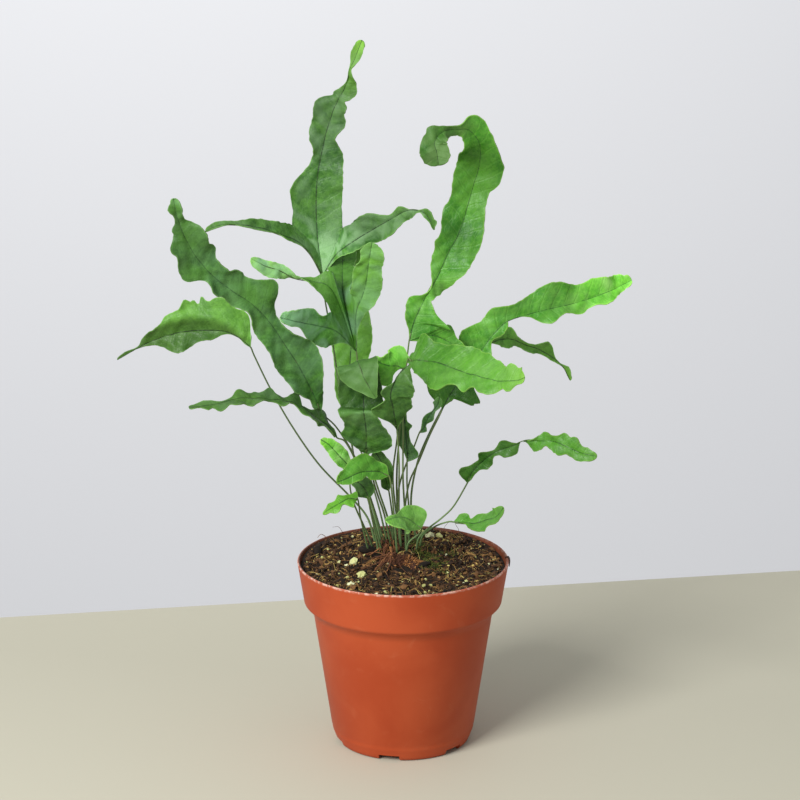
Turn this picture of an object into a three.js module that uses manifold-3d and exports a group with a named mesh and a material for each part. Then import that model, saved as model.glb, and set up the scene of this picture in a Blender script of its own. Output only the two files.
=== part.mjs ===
// A young potted fern: strap-shaped and lobed wavy fronds on thin stipes, grown from a
// creeping rhizome in dark soil, in a round terracotta-coloured plastic nursery pot.
// Millimetres, +Z up. The origin is the middle of the pot's foot; -Y is the front.

import * as THREE from 'three';
import { mergeVertices } from 'three/addons/utils/BufferGeometryUtils.js';
import Module from 'manifold-3d';

const wasm = await Module();
wasm.setup();

// ---- Pot -------------------------------------------------------------------------

const RIM_RADIUS = 52.8;        // outside, at the lip
const POT_HEIGHT = 94;
const WALL = 1.3;
const BAND_BOTTOM_RADIUS = 49.4; // outside, at the band's lower edge
const BAND_BOTTOM = 73.5;
const SHOULDER_RADIUS = 44.7;   // outside, where the tapered body meets the band
const SHOULDER = 67;
const BODY_FOOT_RADIUS = 35.7;  // outside, where the body rounds into the foot
const BODY_FOOT = 6.5;
const FOOT_RADIUS = 33.4;
const FLOOR = 3.2;              // underside of the floor's raised channel
const CHANNEL_INNER = 20;       // the flat middle of the floor also stands on the table
const CHANNEL_OUTER = 30.5;
const POT_SIDES = 40;
const NOTCH_COUNT = 6;
const NOTCH = { width: 10.5, height: 2.6, turn: -12 };
const DRAIN = { radius: 3.4, ring: 25.2, sides: 8 };

// ---- Soil and rhizome ------------------------------------------------------------

const GAP = 0.3;                // between pieces that rest against each other
const SOIL_EDGE = 89;           // the soil's height at the pot wall
const CROWN = { x: -3, y: 10, rise: 5.5, spread: 24 };
const SOIL_SIDES = 32;
const SOIL_RINGS = [43, 33, 23, 12];
const CLOD = 1.1;               // height of the lumps on the soil
const CLOD_FADE = { from: 38, to: 50 }; // radii between which the lumps die away

const RHIZOME_RADIUS = 3.6;
const RHIZOME_TIP_RADIUS = 4.1;  // the blunt growing tips are a little thicker
const RHIZOME_SIDES = 10;
const RHIZOME_STEPS = 14;
const RHIZOME_PATH = [[-12, -5, 90.5], [-7, -7, 93], [-1, -5, 94], [5, -8, 93], [10, -6, 90]];

// ---- Fronds ----------------------------------------------------------------------

const STIPE_RADIUS = 0.75;
const STIPE_SIDES = 6;
const STIPE_STEP = 9;           // length of one straight stretch of a stipe
const ROOT_DEPTH = 8;           // how far a stipe stands in the soil
const HOLE_CLEARANCE = 0.35;
const HOLE_ABOVE = 6;           // how far a hole is cut upward from the stipe's first point
const RIB_OVERLAP = 0.45;       // how far a stipe runs on under the blade, in stations
const RIB_HALF = 0.55;          // half the blade's thickness at the rib and at the margin
const MARGIN_HALF = 0.36;
const ROW_STEP = 5.5;           // length of blade between two rows of points
const SEAM_ROWS = 4;            // rows along the seam that two lobes share
const COLUMNS = 2;              // columns of points on each side of the rib
const SCALLOP = 0.09;           // share of the half-width by which a margin runs in and out
const TIP_ROWS = [0, 0.45, 0.8]; // rows along the last stretch, which ends in a round tip

// Directions in which blades face, before a station's own turn.
const TO_FRONT = [0, -1, 0.25];
const TO_FRONT_UP = [0, -0.7, 0.7];
const TO_SKY = [0, -0.25, 1];
const TO_RIGHT = [1, 0, 0];

const DEEP = '#4f8a45';
const BLUISH = '#4d8560';
const FRESH = '#63a843';
const PALE = '#7fb764';

// Each frond has its stipe's points from the soil upward, and its lobes from left to right.
// A lobe has the direction in which it faces or, where it folds over, the one across it.
// A lobe's stations are x, y, z on the rib, the half-width to the left and to the right of
// it, and the turn in degrees round it. seams are where two lobes join: points from the
// blade's base to the inner corner between them, and join is the station of that corner.
// fold lifts both halves of a blade like an open book, in degrees. waves are the ruffle's
// height, its length and its shift along the rib.
const FRONDS = {
  frond_tall_trilobed: {
    colour: DEEP,
    stipe: [
      [-11, 20, 95], [-16, 19, 117], [-23, 18, 135], [-26, 22, 149], [-30, 27, 163], [-35, 35, 195],
      [-39, 39, 218], [-40, 40, 229],
    ],
    main: 1,
    seams: [[[-43.5, 40.5, 243], [-55, 40, 255]], [[-30, 41, 253]]],
    lobes: [
      {
        face: TO_FRONT_UP, fold: 8, waves: [0.6, 24, 0], join: 2,
        stations: [
          [-40, 40, 229, 0, 0, 0], [-46, 38, 241, 0.8, 4, 0], [-53, 35, 248.5, 2.6, 4.6, 0],
          [-61, 30, 253, 2.8, 4.4, 0], [-70, 26, 257, 2.4, 3.6, 0], [-80, 20, 260, 2, 2.8, 0],
          [-89, 15, 261, 1.5, 2, 0], [-96, 10, 259, 0, 0, 0],
        ],
      },
      {
        face: TO_FRONT, fold: 8, waves: [1.6, 21, 3], join: 2,
        stations: [
          [-40, 40, 229, 0, 0, 0], [-42, 42, 243, 9, 8, 0], [-43, 44, 257, 12.5, 12, 0],
          [-43, 45, 270, 13.5, 12.5, 0], [-42, 46, 281, 8, 12.5, 0], [-40, 46, 291, 5, 9.5, 0],
          [-38, 46, 300, 8.5, 6, -5], [-35, 45, 310, 9, 7.5, -8], [-32, 44, 317, 6.5, 5.5, -10],
          [-28, 42, 325, 2.6, 6.5, -30], [-26, 40, 333, 1.9, 2.2, -70], [-23, 38, 340, 3, 2.4, -20],
          [-20, 37, 348, 0, 0, 0],
        ],
      },
      {
        face: TO_FRONT, fold: 14, waves: [0.9, 25, 5], join: 2,
        stations: [
          [-40, 40, 229, 0, 0, 0], [-34, 37, 240, 6, 5, 0], [-26, 31, 248, 7, 6.5, 0],
          [-16, 24, 256, 7, 8, 0], [-6, 15, 264, 5, 8, 0], [3, 9, 270, 2.5, 6, 20],
          [11, 4, 269, 2.5, 4.2, 40], [15, 1, 262, 0, 0, 60],
        ],
      },
    ],
  },
  frond_tall_strap: {
    colour: DEEP,
    stipe: [[-8, 25, 94], [-12, 26, 112], [-17, 31, 128], [-23, 40, 143], [-26, 46, 152]],
    lobes: [
      {
        face: TO_FRONT, fold: 6, waves: [1.4, 26, 8],
        stations: [
          [-26, 46, 152, 0, 0, 0], [-27, 50, 163, 6, 6, 0], [-27, 54, 178, 8.6, 9.6, 0],
          [-26, 57, 192, 9.7, 9.7, 0], [-26, 59, 207, 11, 9.7, 0], [-26, 61, 220, 11, 9.5, 0],
          [-25, 63, 233, 8, 7.5, 0], [-23, 66, 245, 4, 4, 0], [-22, 69, 252, 0, 0, 0],
        ],
      },
    ],
  },
  frond_five_lobed: {
    colour: BLUISH,
    stipe: [
      [-4, 20, 95], [-8, 12, 113], [-12, 8, 127], [-17, 7, 145], [-20, 8, 165], [-22, 10, 185],
      [-23, 12, 198],
    ],
    main: 2,
    seams: [[[-35, 12, 218]], [[-35, 30, 233]], [[-25, 22, 230]]],
    lobes: [
      {
        face: TO_FRONT, fold: 4, waves: [0.9, 19, 0], join: 1,
        stations: [
          [-23, 12, 198, 0, 0, 0], [-32, 4, 210, 7.5, 9, 0], [-40, -4, 215, 8, 8.5, 0],
          [-48, -12, 219, 6.8, 6.5, 0], [-55, -18, 222, 3.4, 3.4, 0], [-59, -21, 224, 0, 0, 0],
        ],
      },
      {
        face: TO_FRONT_UP, fold: 10, waves: [0.5, 20, 0], join: 1,
        stations: [
          [-23, 12, 198, 0, 0, 0], [-34, 23, 225, 4, 5, 0], [-44, 22, 231, 4.5, 4.5, 10],
          [-53, 18, 234, 3.2, 3.2, 80], [-60, 15, 238, 4.2, 4.2, 150], [-68, 11, 242, 3.6, 3.6, 165],
          [-74, 8, 246, 0, 0, 170],
        ],
      },
      {
        face: TO_FRONT, fold: 8, waves: [1, 18, 4], join: 1,
        stations: [
          [-23, 12, 198, 0, 0, 0], [-29, 30, 219, 7, 6.5, 0], [-30, 40, 228, 8, 6.5, 0],
          [-30, 48, 236, 7, 6.5, 0], [-29, 55, 243, 4, 4, 0], [-28, 58, 248, 0, 0, 0],
        ],
      },
      {
        face: TO_FRONT, fold: 6, waves: [0.8, 17, 2], join: 1,
        stations: [
          [-23, 12, 198, 0, 0, 0], [-23, 9, 218, 6.5, 9, 0], [-20, 7, 227, 6, 7.5, 0],
          [-18, 5, 235, 6, 7.4, 0], [-17, 3, 243, 7.4, 7, 0], [-16, 1, 250, 6.4, 6.4, 0],
          [-15, 0, 256, 0, 0, 0],
        ],
      },
    ],
  },
  frond_wavy_left: {
    colour: BLUISH,
    stipe: [
      [-9, 13, 96], [-13, 5, 114], [-17, -3, 130], [-21, -9, 144], [-26, -12, 156], [-33, -15, 168],
      [-38, -17, 176],
    ],
    lobes: [
      {
        face: TO_FRONT, fold: 9, waves: [2.2, 23, 6],
        stations: [
          [-38, -17, 176, 0, 0, 0], [-44, -20, 187, 7, 7.5, 0], [-51, -24, 200, 9.8, 12.8, 0],
          [-58, -27, 212, 9.2, 11.6, 0], [-66, -30, 223, 7, 13, 0], [-75, -34, 232, 5.4, 15.6, 0],
          [-84, -38, 242, 6, 10.8, 0], [-93, -42, 252, 9, 8.2, 0], [-99, -45, 263, 9.8, 8.6, 0],
          [-103, -48, 274, 5.2, 4.8, 0], [-105, -50, 283, 4, 3.2, 0], [-107, -52, 290, 0, 0, 0],
        ],
      },
    ],
  },
  frond_drooping_left: {
    colour: DEEP,
    stipe: [
      [-14, 22, 95], [-18, 21, 109], [-27, 22, 120], [-42, 26, 135], [-55, 30, 153], [-66, 33, 172],
      [-74, 34, 189], [-76, 34, 194],
    ],
    lobes: [
      {
        face: TO_FRONT, fold: 32, waves: [1.2, 17, 0],
        stations: [
          [-76, 34, 194, 0, 0, 0], [-82, 35, 199, 6, 13, 24], [-90, 36, 202, 8, 17, 26],
          [-101, 37, 202, 9.5, 18, 26], [-110, 38, 201, 9.5, 13.5, 26], [-118, 38, 199, 8, 7, 22],
          [-126, 38, 196, 4.5, 3.5, 12], [-134, 37, 192, 2, 2, 0], [-143, 36, 187, 0, 0, 0],
        ],
      },
    ],
  },
  frond_low_left: {
    colour: DEEP,
    stipe: [
      [-10.5, 8, 95], [-14.5, -2, 115], [-18.5, -9, 133], [-23, -16, 150], [-28, -19, 161],
      [-32, -20, 165],
    ],
    lobes: [
      {
        face: TO_SKY, fold: 10, waves: [1.1, 15, 0],
        stations: [
          [-32, -20, 165, 0, 0, 0], [-38, -23, 171, 7, 4, 0], [-45, -26, 176.5, 10, 5.5, 0],
          [-52, -29, 180.5, 8, 6, 0], [-59, -32, 184.5, 8, 7, 0], [-67, -35, 186.5, 8, 7, 0],
          [-75, -38, 189, 8, 7, 0], [-84, -41, 188.5, 8, 7, 0], [-93, -43, 186.5, 6, 5, 0],
          [-102, -44, 185.5, 0, 0, 0],
        ],
      },
    ],
  },
  frond_front_folded: {
    colour: DEEP,
    stipe: [[-6, 9, 96], [-9, 1, 116], [-13, -5, 131], [-17, -9, 147], [-18, -10, 152]],
    lobes: [
      {
        across: TO_RIGHT, fold: 2, waves: [0.6, 24, 0],
        stations: [
          [-18, -10, 152, 0, 0, 0], [-18, -15, 159, 8.7, 12, 0], [-18, -21, 169, 10.6, 9.2, 0],
          [-19, -23, 177, 13, 9.2, 0], [-19, -19, 183, 11.7, 9.7, 0], [-20, -16, 192, 10.7, 8.8, 0],
          [-22, -19, 201, 9.7, 8.7, 0], [-21, -25.5, 201.5, 8, 8, 0], [-18, -29, 195, 5, 5, 0],
          [-13, -30, 186.5, 0, 0, 0],
        ],
      },
    ],
  },
  frond_small_curled: {
    colour: FRESH,
    stipe: [
      [-1.5, 16.5, 96], [-3, 7, 122], [-3, 1, 141], [-2, -1, 157], [-1, -2, 175], [0, -3, 187],
      [1, -4, 193],
    ],
    lobes: [
      {
        face: TO_FRONT, fold: -16, waves: [0.8, 14, 0],
        stations: [
          [1, -4, 193, 0, 0, 0], [-3, -7, 196, 6.8, 8.8, 0], [-7, -10, 197, 6.8, 7.3, 0],
          [-11, -12, 199, 4.4, 3.9, 0], [-14, -13, 202, 0, 0, 0],
        ],
      },
    ],
  },
  frond_dark_diamond: {
    colour: DEEP,
    stipe: [[-1, 11, 96], [-2, 1, 117], [-2, -8, 133], [-2, -15, 150.5], [-3, -20, 167.5]],
    lobes: [
      {
        face: TO_FRONT, fold: 6, waves: [0.9, 16, 0],
        stations: [
          [-3, -20, 167.5, 0, 0, 0], [-4, -27, 175.5, 7.3, 4.4, 0], [-5, -31, 183, 8.7, 9.2, 0],
          [-6, -33, 189, 5.3, 9.7, 0], [-4, -34, 196.3, 4.8, 7.2, 0], [-1, -34, 201, 3.4, 3.8, 0],
          [3, -34, 204.5, 0, 0, 0],
        ],
      },
    ],
  },
  frond_hanging_narrow: {
    colour: DEEP,
    stipe: [[2.8, 15, 95], [3, 7, 116], [2, 2, 132], [2, -1, 145]],
    lobes: [
      {
        face: TO_FRONT, fold: 10, waves: [0.8, 13, 0],
        stations: [
          [2, -1, 145, 0, 0, 0], [2, 0, 150, 2.9, 4.4, 0], [1.5, 1, 157, 2.9, 2.9, 0],
          [1, 2, 163, 3.4, 3.9, 0], [0.5, 3, 170, 3.4, 2.9, 0], [0, 3, 178, 0, 0, 0],
        ],
      },
    ],
  },
  frond_tall_hooked: {
    colour: FRESH,
    stipe: [
      [-1, 22, 95], [-4, 15, 118], [-5, 12, 135], [-3, 11, 153], [-1, 10, 174], [2, 10, 196],
      [3, 10, 204],
    ],
    main: 0,
    seams: [[[21, 13, 211]]],
    lobes: [
      {
        face: TO_FRONT, fold: 10, waves: [1.1, 24, 0], join: 1,
        stations: [
          [3, 10, 204, 0, 0, 0], [5, 12, 212, 4.4, 9, 0], [8, 13, 219, 6.4, 8, 0],
          [11, 14, 225, 5.4, 3.6, 20], [14, 15, 230, 2.4, 3.4, 42], [18, 17, 237, 5, 9.4, 10],
          [22, 19, 246, 6.9, 11.9, 0], [27, 20, 255, 8.6, 12.2, 0], [31, 22, 267, 10.4, 10.6, 0],
          [34, 23, 278, 11, 10.4, 0], [37, 22, 289, 11, 11.6, 0], [37, 16, 301, 8.2, 10.6, 0],
          [32, 9, 309, 4.2, 11, -20], [26, 3, 311, 3, 4, -30], [19, -3, 311, 3.6, 3.6, -10],
          [15, -7, 307, 4.6, 6.6, 0], [16, -9, 302, 5, 6.6, 0], [17, -10, 296, 0, 0, 0],
        ],
      },
      {
        face: TO_FRONT, fold: 6, waves: [0.5, 18, 0], join: 1,
        stations: [
          [3, 10, 204, 0, 0, 0], [14, 13, 206, 4.4, 4, 0], [23, 14, 202, 5.4, 4, 0],
          [29, 14, 197, 3.2, 2.8, 0], [33, 14, 192, 0, 0, 0],
        ],
      },
    ],
  },
  frond_big_right: {
    colour: FRESH,
    stipe: [[3.5, 20, 95], [1, 14, 113], [3, 11, 130], [8, 11, 142], [13, 13, 154], [18, 15, 164]],
    lobes: [
      {
        face: TO_FRONT, fold: 10, waves: [1.7, 22, 9],
        stations: [
          [18, 15, 164, 0, 0, 0], [21, 17, 170, 5.9, 4, 0], [26, 19, 178, 12.5, 11.5, 0],
          [33, 21, 188, 14, 13, 0], [39, 22, 196, 13.4, 7.4, 0], [45, 23, 204, 12.6, 5, 0],
          [52, 24, 210, 9.6, 2.6, 0], [61, 26, 213, 8.6, 3.2, 0], [72, 29, 215, 11.5, 7, 0],
          [83, 33, 217, 10, 6.4, 0], [94, 38, 219, 7.4, 5.4, 0], [104, 43, 221, 6.8, 5, 0],
          [110, 46, 223, 5, 4, 0], [115, 48, 225, 0, 0, 0],
        ],
      },
    ],
  },
  frond_bright_right: {
    colour: FRESH,
    stipe: [[1.5, 7, 96], [1, 1, 117], [0, -4, 137], [0, -5, 158], [0, -5, 180], [2, -6, 198]],
    lobes: [
      {
        face: [0, -0.8, 0.5], fold: 3, waves: [1, 17, 4],
        stations: [
          [2, -6, 198, 0, 0, 0], [7, -11, 200, 9.5, 7, 0], [14, -17, 201, 10.5, 13.5, 0],
          [21, -24, 201, 12, 11, 0], [28, -31, 200, 13.4, 9, 0], [35, -38, 200, 13, 7.2, 0],
          [42, -45, 200, 11, 8, 0], [48, -51, 201, 8.4, 6.6, 0], [54, -56, 203, 5.8, 4.2, 0],
          [57, -59, 205, 0, 0, 0],
        ],
      },
    ],
  },
  frond_narrow_grey: {
    colour: BLUISH,
    stipe: [[0, 26, 94], [-3, 19, 112], [-2, 11, 128], [1, 7, 140], [5, 5, 150], [9, 4, 159]],
    lobes: [
      {
        face: TO_FRONT, fold: 10, waves: [0.5, 11, 0],
        stations: [
          [9, 4, 159, 0, 0, 0], [11, 4, 163, 2.2, 1.8, 0], [12, 5, 167, 3.4, 3, 0],
          [14, 6, 171, 3, 2.4, 0], [17, 7, 175, 2.6, 2.6, 0], [19, 7, 180, 0, 0, 0],
        ],
      },
    ],
  },
  frond_low_right: {
    colour: FRESH,
    stipe: [[6.5, 8, 95], [8, 1, 105], [13, -4, 112], [19, -7, 118], [25, -9, 125], [31, -11, 135]],
    lobes: [
      {
        face: TO_FRONT, fold: 12, waves: [1, 13, 0],
        stations: [
          [31, -11, 135, 0, 0, 0], [34, -13, 143, 5, 3.4, 0], [39, -16, 151, 3.8, 3.6, 0],
          [46, -20, 156.5, 2.8, 3.2, 0], [53, -23, 160, 2.2, 2, 0], [60, -27, 163, 1.6, 1.6, 50],
          [66, -30, 166, 3, 3.4, 0], [73, -34, 166, 4.5, 4.8, 0], [79, -38, 165, 4.5, 4.3, 0],
          [86, -41, 162, 3, 3.4, 0], [93, -44, 160, 0, 0, 0],
        ],
      },
    ],
  },
  frond_small_right: {
    colour: FRESH,
    stipe: [[8.5, 14, 95], [10, 5, 105], [16, -2, 112], [22, -7, 116], [25, -10, 117]],
    lobes: [
      {
        face: [0, -0.6, 0.8], fold: 6, waves: [0.5, 12, 0],
        stations: [
          [25, -10, 117, 0, 0, 0], [30, -13, 117.5, 3.6, 3.6, 0], [35, -16, 118.5, 4.8, 3.8, 0],
          [41, -19, 121, 5, 3.8, 0], [45, -22, 123.5, 3.4, 3, 0], [49, -24, 129, 0, 0, 0],
        ],
      },
    ],
  },
  frond_front_oval: {
    colour: PALE,
    stipe: [[1.5, 3, 96], [3, -3, 104], [8, -9, 110.5], [14, -13, 115]],
    lobes: [
      {
        face: [0, -0.75, 0.65], fold: 6, waves: [0.6, 15, 0],
        stations: [
          [14, -13, 115, 0, 0, 0], [10, -15, 117.5, 5, 7.5, 0], [4, -18, 121, 8, 8.6, 0],
          [-1, -22, 123, 8.4, 5.6, 0], [-6, -25, 123, 5, 3, 0], [-9, -27, 122, 0, 0, 0],
        ],
      },
    ],
  },
  frond_light_left: {
    colour: FRESH,
    stipe: [[-15, 14, 95], [-19, 4, 109], [-24, -7, 125], [-26, -12, 136], [-25, -13, 144]],
    lobes: [
      {
        face: TO_FRONT, fold: 5, waves: [0.6, 15, 0],
        stations: [
          [-25, -13, 144, 0, 0, 0], [-28, -14, 149, 4, 4, 0], [-32, -16, 154, 4.6, 5, 0],
          [-36, -17, 159, 3.8, 4, 0], [-40, -18, 162, 0, 0, 0],
        ],
      },
    ],
  },
  frond_bright_middle: {
    colour: FRESH,
    stipe: [[-3, 4, 96], [-4, -4, 113], [-5, -11, 127], [-6, -16, 139], [-7, -17, 143]],
    lobes: [
      {
        face: TO_FRONT, fold: 8, waves: [0.8, 13, 0],
        stations: [
          [-7, -17, 143, 0, 0, 0], [-12, -19, 146, 4.6, 5.8, 0], [-17, -22, 147, 5.5, 7.2, 0],
          [-22, -25, 147, 5, 6.8, 0], [-28, -28, 145, 4, 4.3, 0], [-32, -30, 144, 0, 0, 0],
        ],
      },
    ],
  },
  frond_small_cluster: {
    colour: DEEP,
    stipe: [[-4.8, 13.5, 96], [-5, 7, 111], [-6, 2, 122], [-7, -1, 130]],
    lobes: [
      {
        face: TO_FRONT, fold: 8, waves: [0.8, 12, 0],
        stations: [
          [-7, -1, 130, 0, 0, 0], [-8, -2, 134, 2.9, 2.9, 0], [-9, -4, 140, 2.6, 3.9, 0],
          [-10, -5, 145, 5.4, 4.4, 0], [-12, -5, 149, 3.9, 2.9, 0], [-14, -5, 152, 0, 0, 0],
        ],
      },
    ],
  },
  frond_small_dark: {
    colour: DEEP,
    stipe: [[-12, 3.5, 95], [-14, -4, 110], [-16, -10, 122.5], [-17, -13, 130]],
    lobes: [
      {
        face: TO_FRONT, fold: 8, waves: [0.5, 12, 0],
        stations: [
          [-17, -13, 130, 0, 0, 0], [-18, -14, 133.8, 4.4, 4.9, 0], [-20, -14.5, 137.3, 4.4, 4.9, 0],
          [-22.5, -15, 139.5, 3, 3, 0], [-25, -15, 141, 0, 0, 0],
        ],
      },
    ],
  },
  frond_small_left: {
    colour: FRESH,
    stipe: [[-17, 6, 95], [-19, -4, 108], [-21, -13, 121], [-22, -18, 131]],
    lobes: [
      {
        face: TO_FRONT_UP, fold: 8, waves: [0.8, 9, 0],
        stations: [
          [-22, -18, 131, 0, 0, 0], [-26, -20, 132.5, 4.2, 4.4, 0], [-30, -23, 131.5, 4.4, 4.8, 0],
          [-35, -26, 129.5, 3.8, 3.6, 0], [-39, -28, 127, 0, 0, 0],
        ],
      },
    ],
  },
  frond_thin_dark: {
    colour: DEEP,
    stipe: [
      [7, 20, 95], [4, 17, 118], [7, 21, 137], [13, 27, 151], [21, 33, 165], [30, 38, 179],
      [40, 41, 191], [44, 42, 194],
    ],
    lobes: [
      {
        face: TO_FRONT, fold: 10, waves: [1, 16, 0],
        stations: [
          [44, 42, 194, 0, 0, 0], [49, 45, 195, 4.5, 2, 0], [55, 49, 194, 6.1, 2.6, 0],
          [62, 53, 190, 3.8, 2, 0], [70, 57, 186, 4.1, 2.4, 0], [78, 61, 179, 2.8, 2.6, 0],
          [86, 64, 169, 0, 0, 0],
        ],
      },
    ],
  },
};

// ---- Small helpers -----------------------------------------------------------------

const vector = ([x, y, z]) => new THREE.Vector3(x, y, z);
const radians = THREE.MathUtils.degToRad;

function toSolid(geometry) {
  const bare = geometry.index ? geometry.toNonIndexed() : geometry.clone();
  bare.deleteAttribute('normal');
  bare.deleteAttribute('uv');
  const merged = mergeVertices(bare, 1e-4);
  const mesh = new wasm.Mesh({
    numProp: 3,
    vertProperties: new Float32Array(merged.attributes.position.array),
    triVerts: new Uint32Array(merged.index.array),
  });
  return new wasm.Manifold(mesh);
}

function toGeometry(solid) {
  const mesh = solid.getMesh();
  const geometry = new THREE.BufferGeometry();
  geometry.setAttribute('position', new THREE.BufferAttribute(new Float32Array(mesh.vertProperties), 3));
  geometry.setIndex(new THREE.BufferAttribute(new Uint32Array(mesh.triVerts), 1));
  geometry.computeVertexNormals();
  return geometry;
}

function piece(name, geometry, colour, roughness) {
  const material = new THREE.MeshStandardMaterial({ color: colour, roughness, metalness: 0, flatShading: true });
  const mesh = new THREE.Mesh(geometry, material);
  mesh.name = name;
  return mesh;
}

function roundSection(radius, sides) {
  const corners = [];
  for (let i = 0; i < sides; i += 1) {
    const angle = (2 * Math.PI * i) / sides;
    corners.push(new THREE.Vector2(radius * Math.cos(angle), radius * Math.sin(angle)));
  }
  return new THREE.Shape(corners);
}

function tube(curve, radius, sides, steps) {
  return new THREE.ExtrudeGeometry(roundSection(radius, sides), { extrudePath: curve, steps, bevelEnabled: false });
}

// A smooth curve through rows of numbers, read at station u.
function between(rows, u) {
  const last = rows.length - 1;
  const i = Math.min(Math.floor(u), last - 1);
  const f = u - i;
  const [b, c] = [rows[i], rows[i + 1]];
  const a = rows[i - 1] ?? b.map((value, k) => 2 * value - c[k]);
  const d = rows[i + 2] ?? c.map((value, k) => 2 * value - b[k]);
  return b.map((value, k) => {
    const slopeIn = (c[k] - a[k]) / 2;
    const slopeOut = (d[k] - b[k]) / 2;
    const step = c[k] - value;
    return value + f * (slopeIn + f * (3 * step - 2 * slopeIn - slopeOut + f * (slopeIn + slopeOut - 2 * step)));
  });
}

// ---- Pot -------------------------------------------------------------------------

// The shell's outline from the middle of its foot, up the outside and down the inside.
function potProfile() {
  const points = [
    [0, 0], [CHANNEL_INNER, 0], [CHANNEL_INNER + 1.5, FLOOR], [CHANNEL_OUTER, FLOOR], [CHANNEL_OUTER + 0.6, 0],
    [FOOT_RADIUS - 0.6, 0], [FOOT_RADIUS, 0.5], [FOOT_RADIUS + 0.9, 2.6], [BODY_FOOT_RADIUS - 0.5, 4.8],
    [BODY_FOOT_RADIUS, BODY_FOOT], [SHOULDER_RADIUS, SHOULDER], [SHOULDER_RADIUS + 1.2, SHOULDER + 2.6],
    [BAND_BOTTOM_RADIUS - 1.6, BAND_BOTTOM - 1.9], [BAND_BOTTOM_RADIUS, BAND_BOTTOM],
    [RIM_RADIUS - 0.35, POT_HEIGHT - 0.5], [RIM_RADIUS - 0.5, POT_HEIGHT],
    [RIM_RADIUS - WALL, POT_HEIGHT], [BAND_BOTTOM_RADIUS - WALL, BAND_BOTTOM + 0.6],
    [SHOULDER_RADIUS + 1, SHOULDER + 4], [SHOULDER_RADIUS - WALL, SHOULDER + 0.6],
    [BODY_FOOT_RADIUS - WALL, BODY_FOOT + 0.6], [CHANNEL_OUTER + 1, FLOOR + WALL], [0, FLOOR + WALL],
  ];
  return points.map(([radius, height]) => new THREE.Vector2(radius, height));
}

// Solids made by make, spaced evenly about the pot's axis.
function around(count, turn, make) {
  const copies = [];
  for (let i = 0; i < count; i += 1) {
    const geometry = make();
    geometry.rotateZ(radians(turn + (360 * i) / count));
    copies.push(toSolid(geometry));
  }
  return copies;
}

function footNotch() {
  const box = new THREE.BoxGeometry(NOTCH.width, 8, 2 * NOTCH.height);
  box.translate(0, -FOOT_RADIUS, 0);
  return box;
}

function drainHole() {
  const drill = new THREE.CylinderGeometry(DRAIN.radius, DRAIN.radius, 4 * WALL, DRAIN.sides);
  drill.rotateX(Math.PI / 2);
  drill.translate(0, -DRAIN.ring, FLOOR + WALL / 2);
  return drill;
}

function buildPot() {
  const shell = new THREE.LatheGeometry(potProfile(), POT_SIDES);
  shell.rotateX(Math.PI / 2);
  let pot = toSolid(shell);
  const cuts = [
    ...around(NOTCH_COUNT, NOTCH.turn, footNotch),
    ...around(NOTCH_COUNT, NOTCH.turn, drainHole),
  ];
  for (const cut of cuts) {
    pot = pot.subtract(cut);
  }
  return pot;
}

// ---- Soil and rhizome ------------------------------------------------------------

// The soil's surface: level at the wall, a low crown in the middle, and lumps all over.
function soilHeight(x, y) {
  const far = Math.hypot(x - CROWN.x, y - CROWN.y) / CROWN.spread;
  const clods = Math.sin(0.31 * x + 1.3) * Math.cos(0.27 * y) + 0.6 * Math.sin(0.53 * x - 0.47 * y);
  const inward = THREE.MathUtils.mapLinear(Math.hypot(x, y), CLOD_FADE.to, CLOD_FADE.from, 0, 1);
  return SOIL_EDGE + CROWN.rise * Math.exp(-far * far) + CLOD * clods * THREE.MathUtils.clamp(inward, 0, 1);
}

function soilProfile() {
  const inner = WALL + GAP;
  const topRadius = BAND_BOTTOM_RADIUS + ((RIM_RADIUS - BAND_BOTTOM_RADIUS) * (SOIL_EDGE - BAND_BOTTOM))
    / (POT_HEIGHT - BAND_BOTTOM);
  const points = [
    [0, FLOOR + inner], [CHANNEL_OUTER + 0.6, FLOOR + inner], [BODY_FOOT_RADIUS - inner, BODY_FOOT + 0.9],
    [SHOULDER_RADIUS - inner, SHOULDER + 0.9], [SHOULDER_RADIUS + 0.6, SHOULDER + 4.6],
    [BAND_BOTTOM_RADIUS - inner, BAND_BOTTOM + 1], [topRadius - inner, SOIL_EDGE],
    ...SOIL_RINGS.map((radius) => [radius, SOIL_EDGE]), [0, SOIL_EDGE],
  ];
  return points.map(([radius, height]) => new THREE.Vector2(radius, height));
}

function buildSoil() {
  const bed = new THREE.LatheGeometry(soilProfile(), SOIL_SIDES);
  bed.rotateX(Math.PI / 2);
  const position = bed.attributes.position;
  for (let i = 0; i < position.count; i += 1) {
    if (Math.abs(position.getZ(i) - SOIL_EDGE) < 1e-3) {
      position.setZ(i, soilHeight(position.getX(i), position.getY(i)));
    }
  }
  return toSolid(bed);
}

// The rhizome; extra makes it fatter, for the bed that it leaves in the soil.
function buildRhizome(extra) {
  const curve = new THREE.CatmullRomCurve3(RHIZOME_PATH.map(vector));
  let stem = toSolid(tube(curve, RHIZOME_RADIUS + extra, RHIZOME_SIDES, RHIZOME_STEPS));
  for (const end of [RHIZOME_PATH[0], RHIZOME_PATH[RHIZOME_PATH.length - 1]]) {
    const tip = new THREE.SphereGeometry(RHIZOME_TIP_RADIUS + extra, 12, 8);
    tip.translate(...end);
    stem = stem.add(toSolid(tip));
  }
  return stem;
}

// ---- Fronds ----------------------------------------------------------------------

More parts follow.
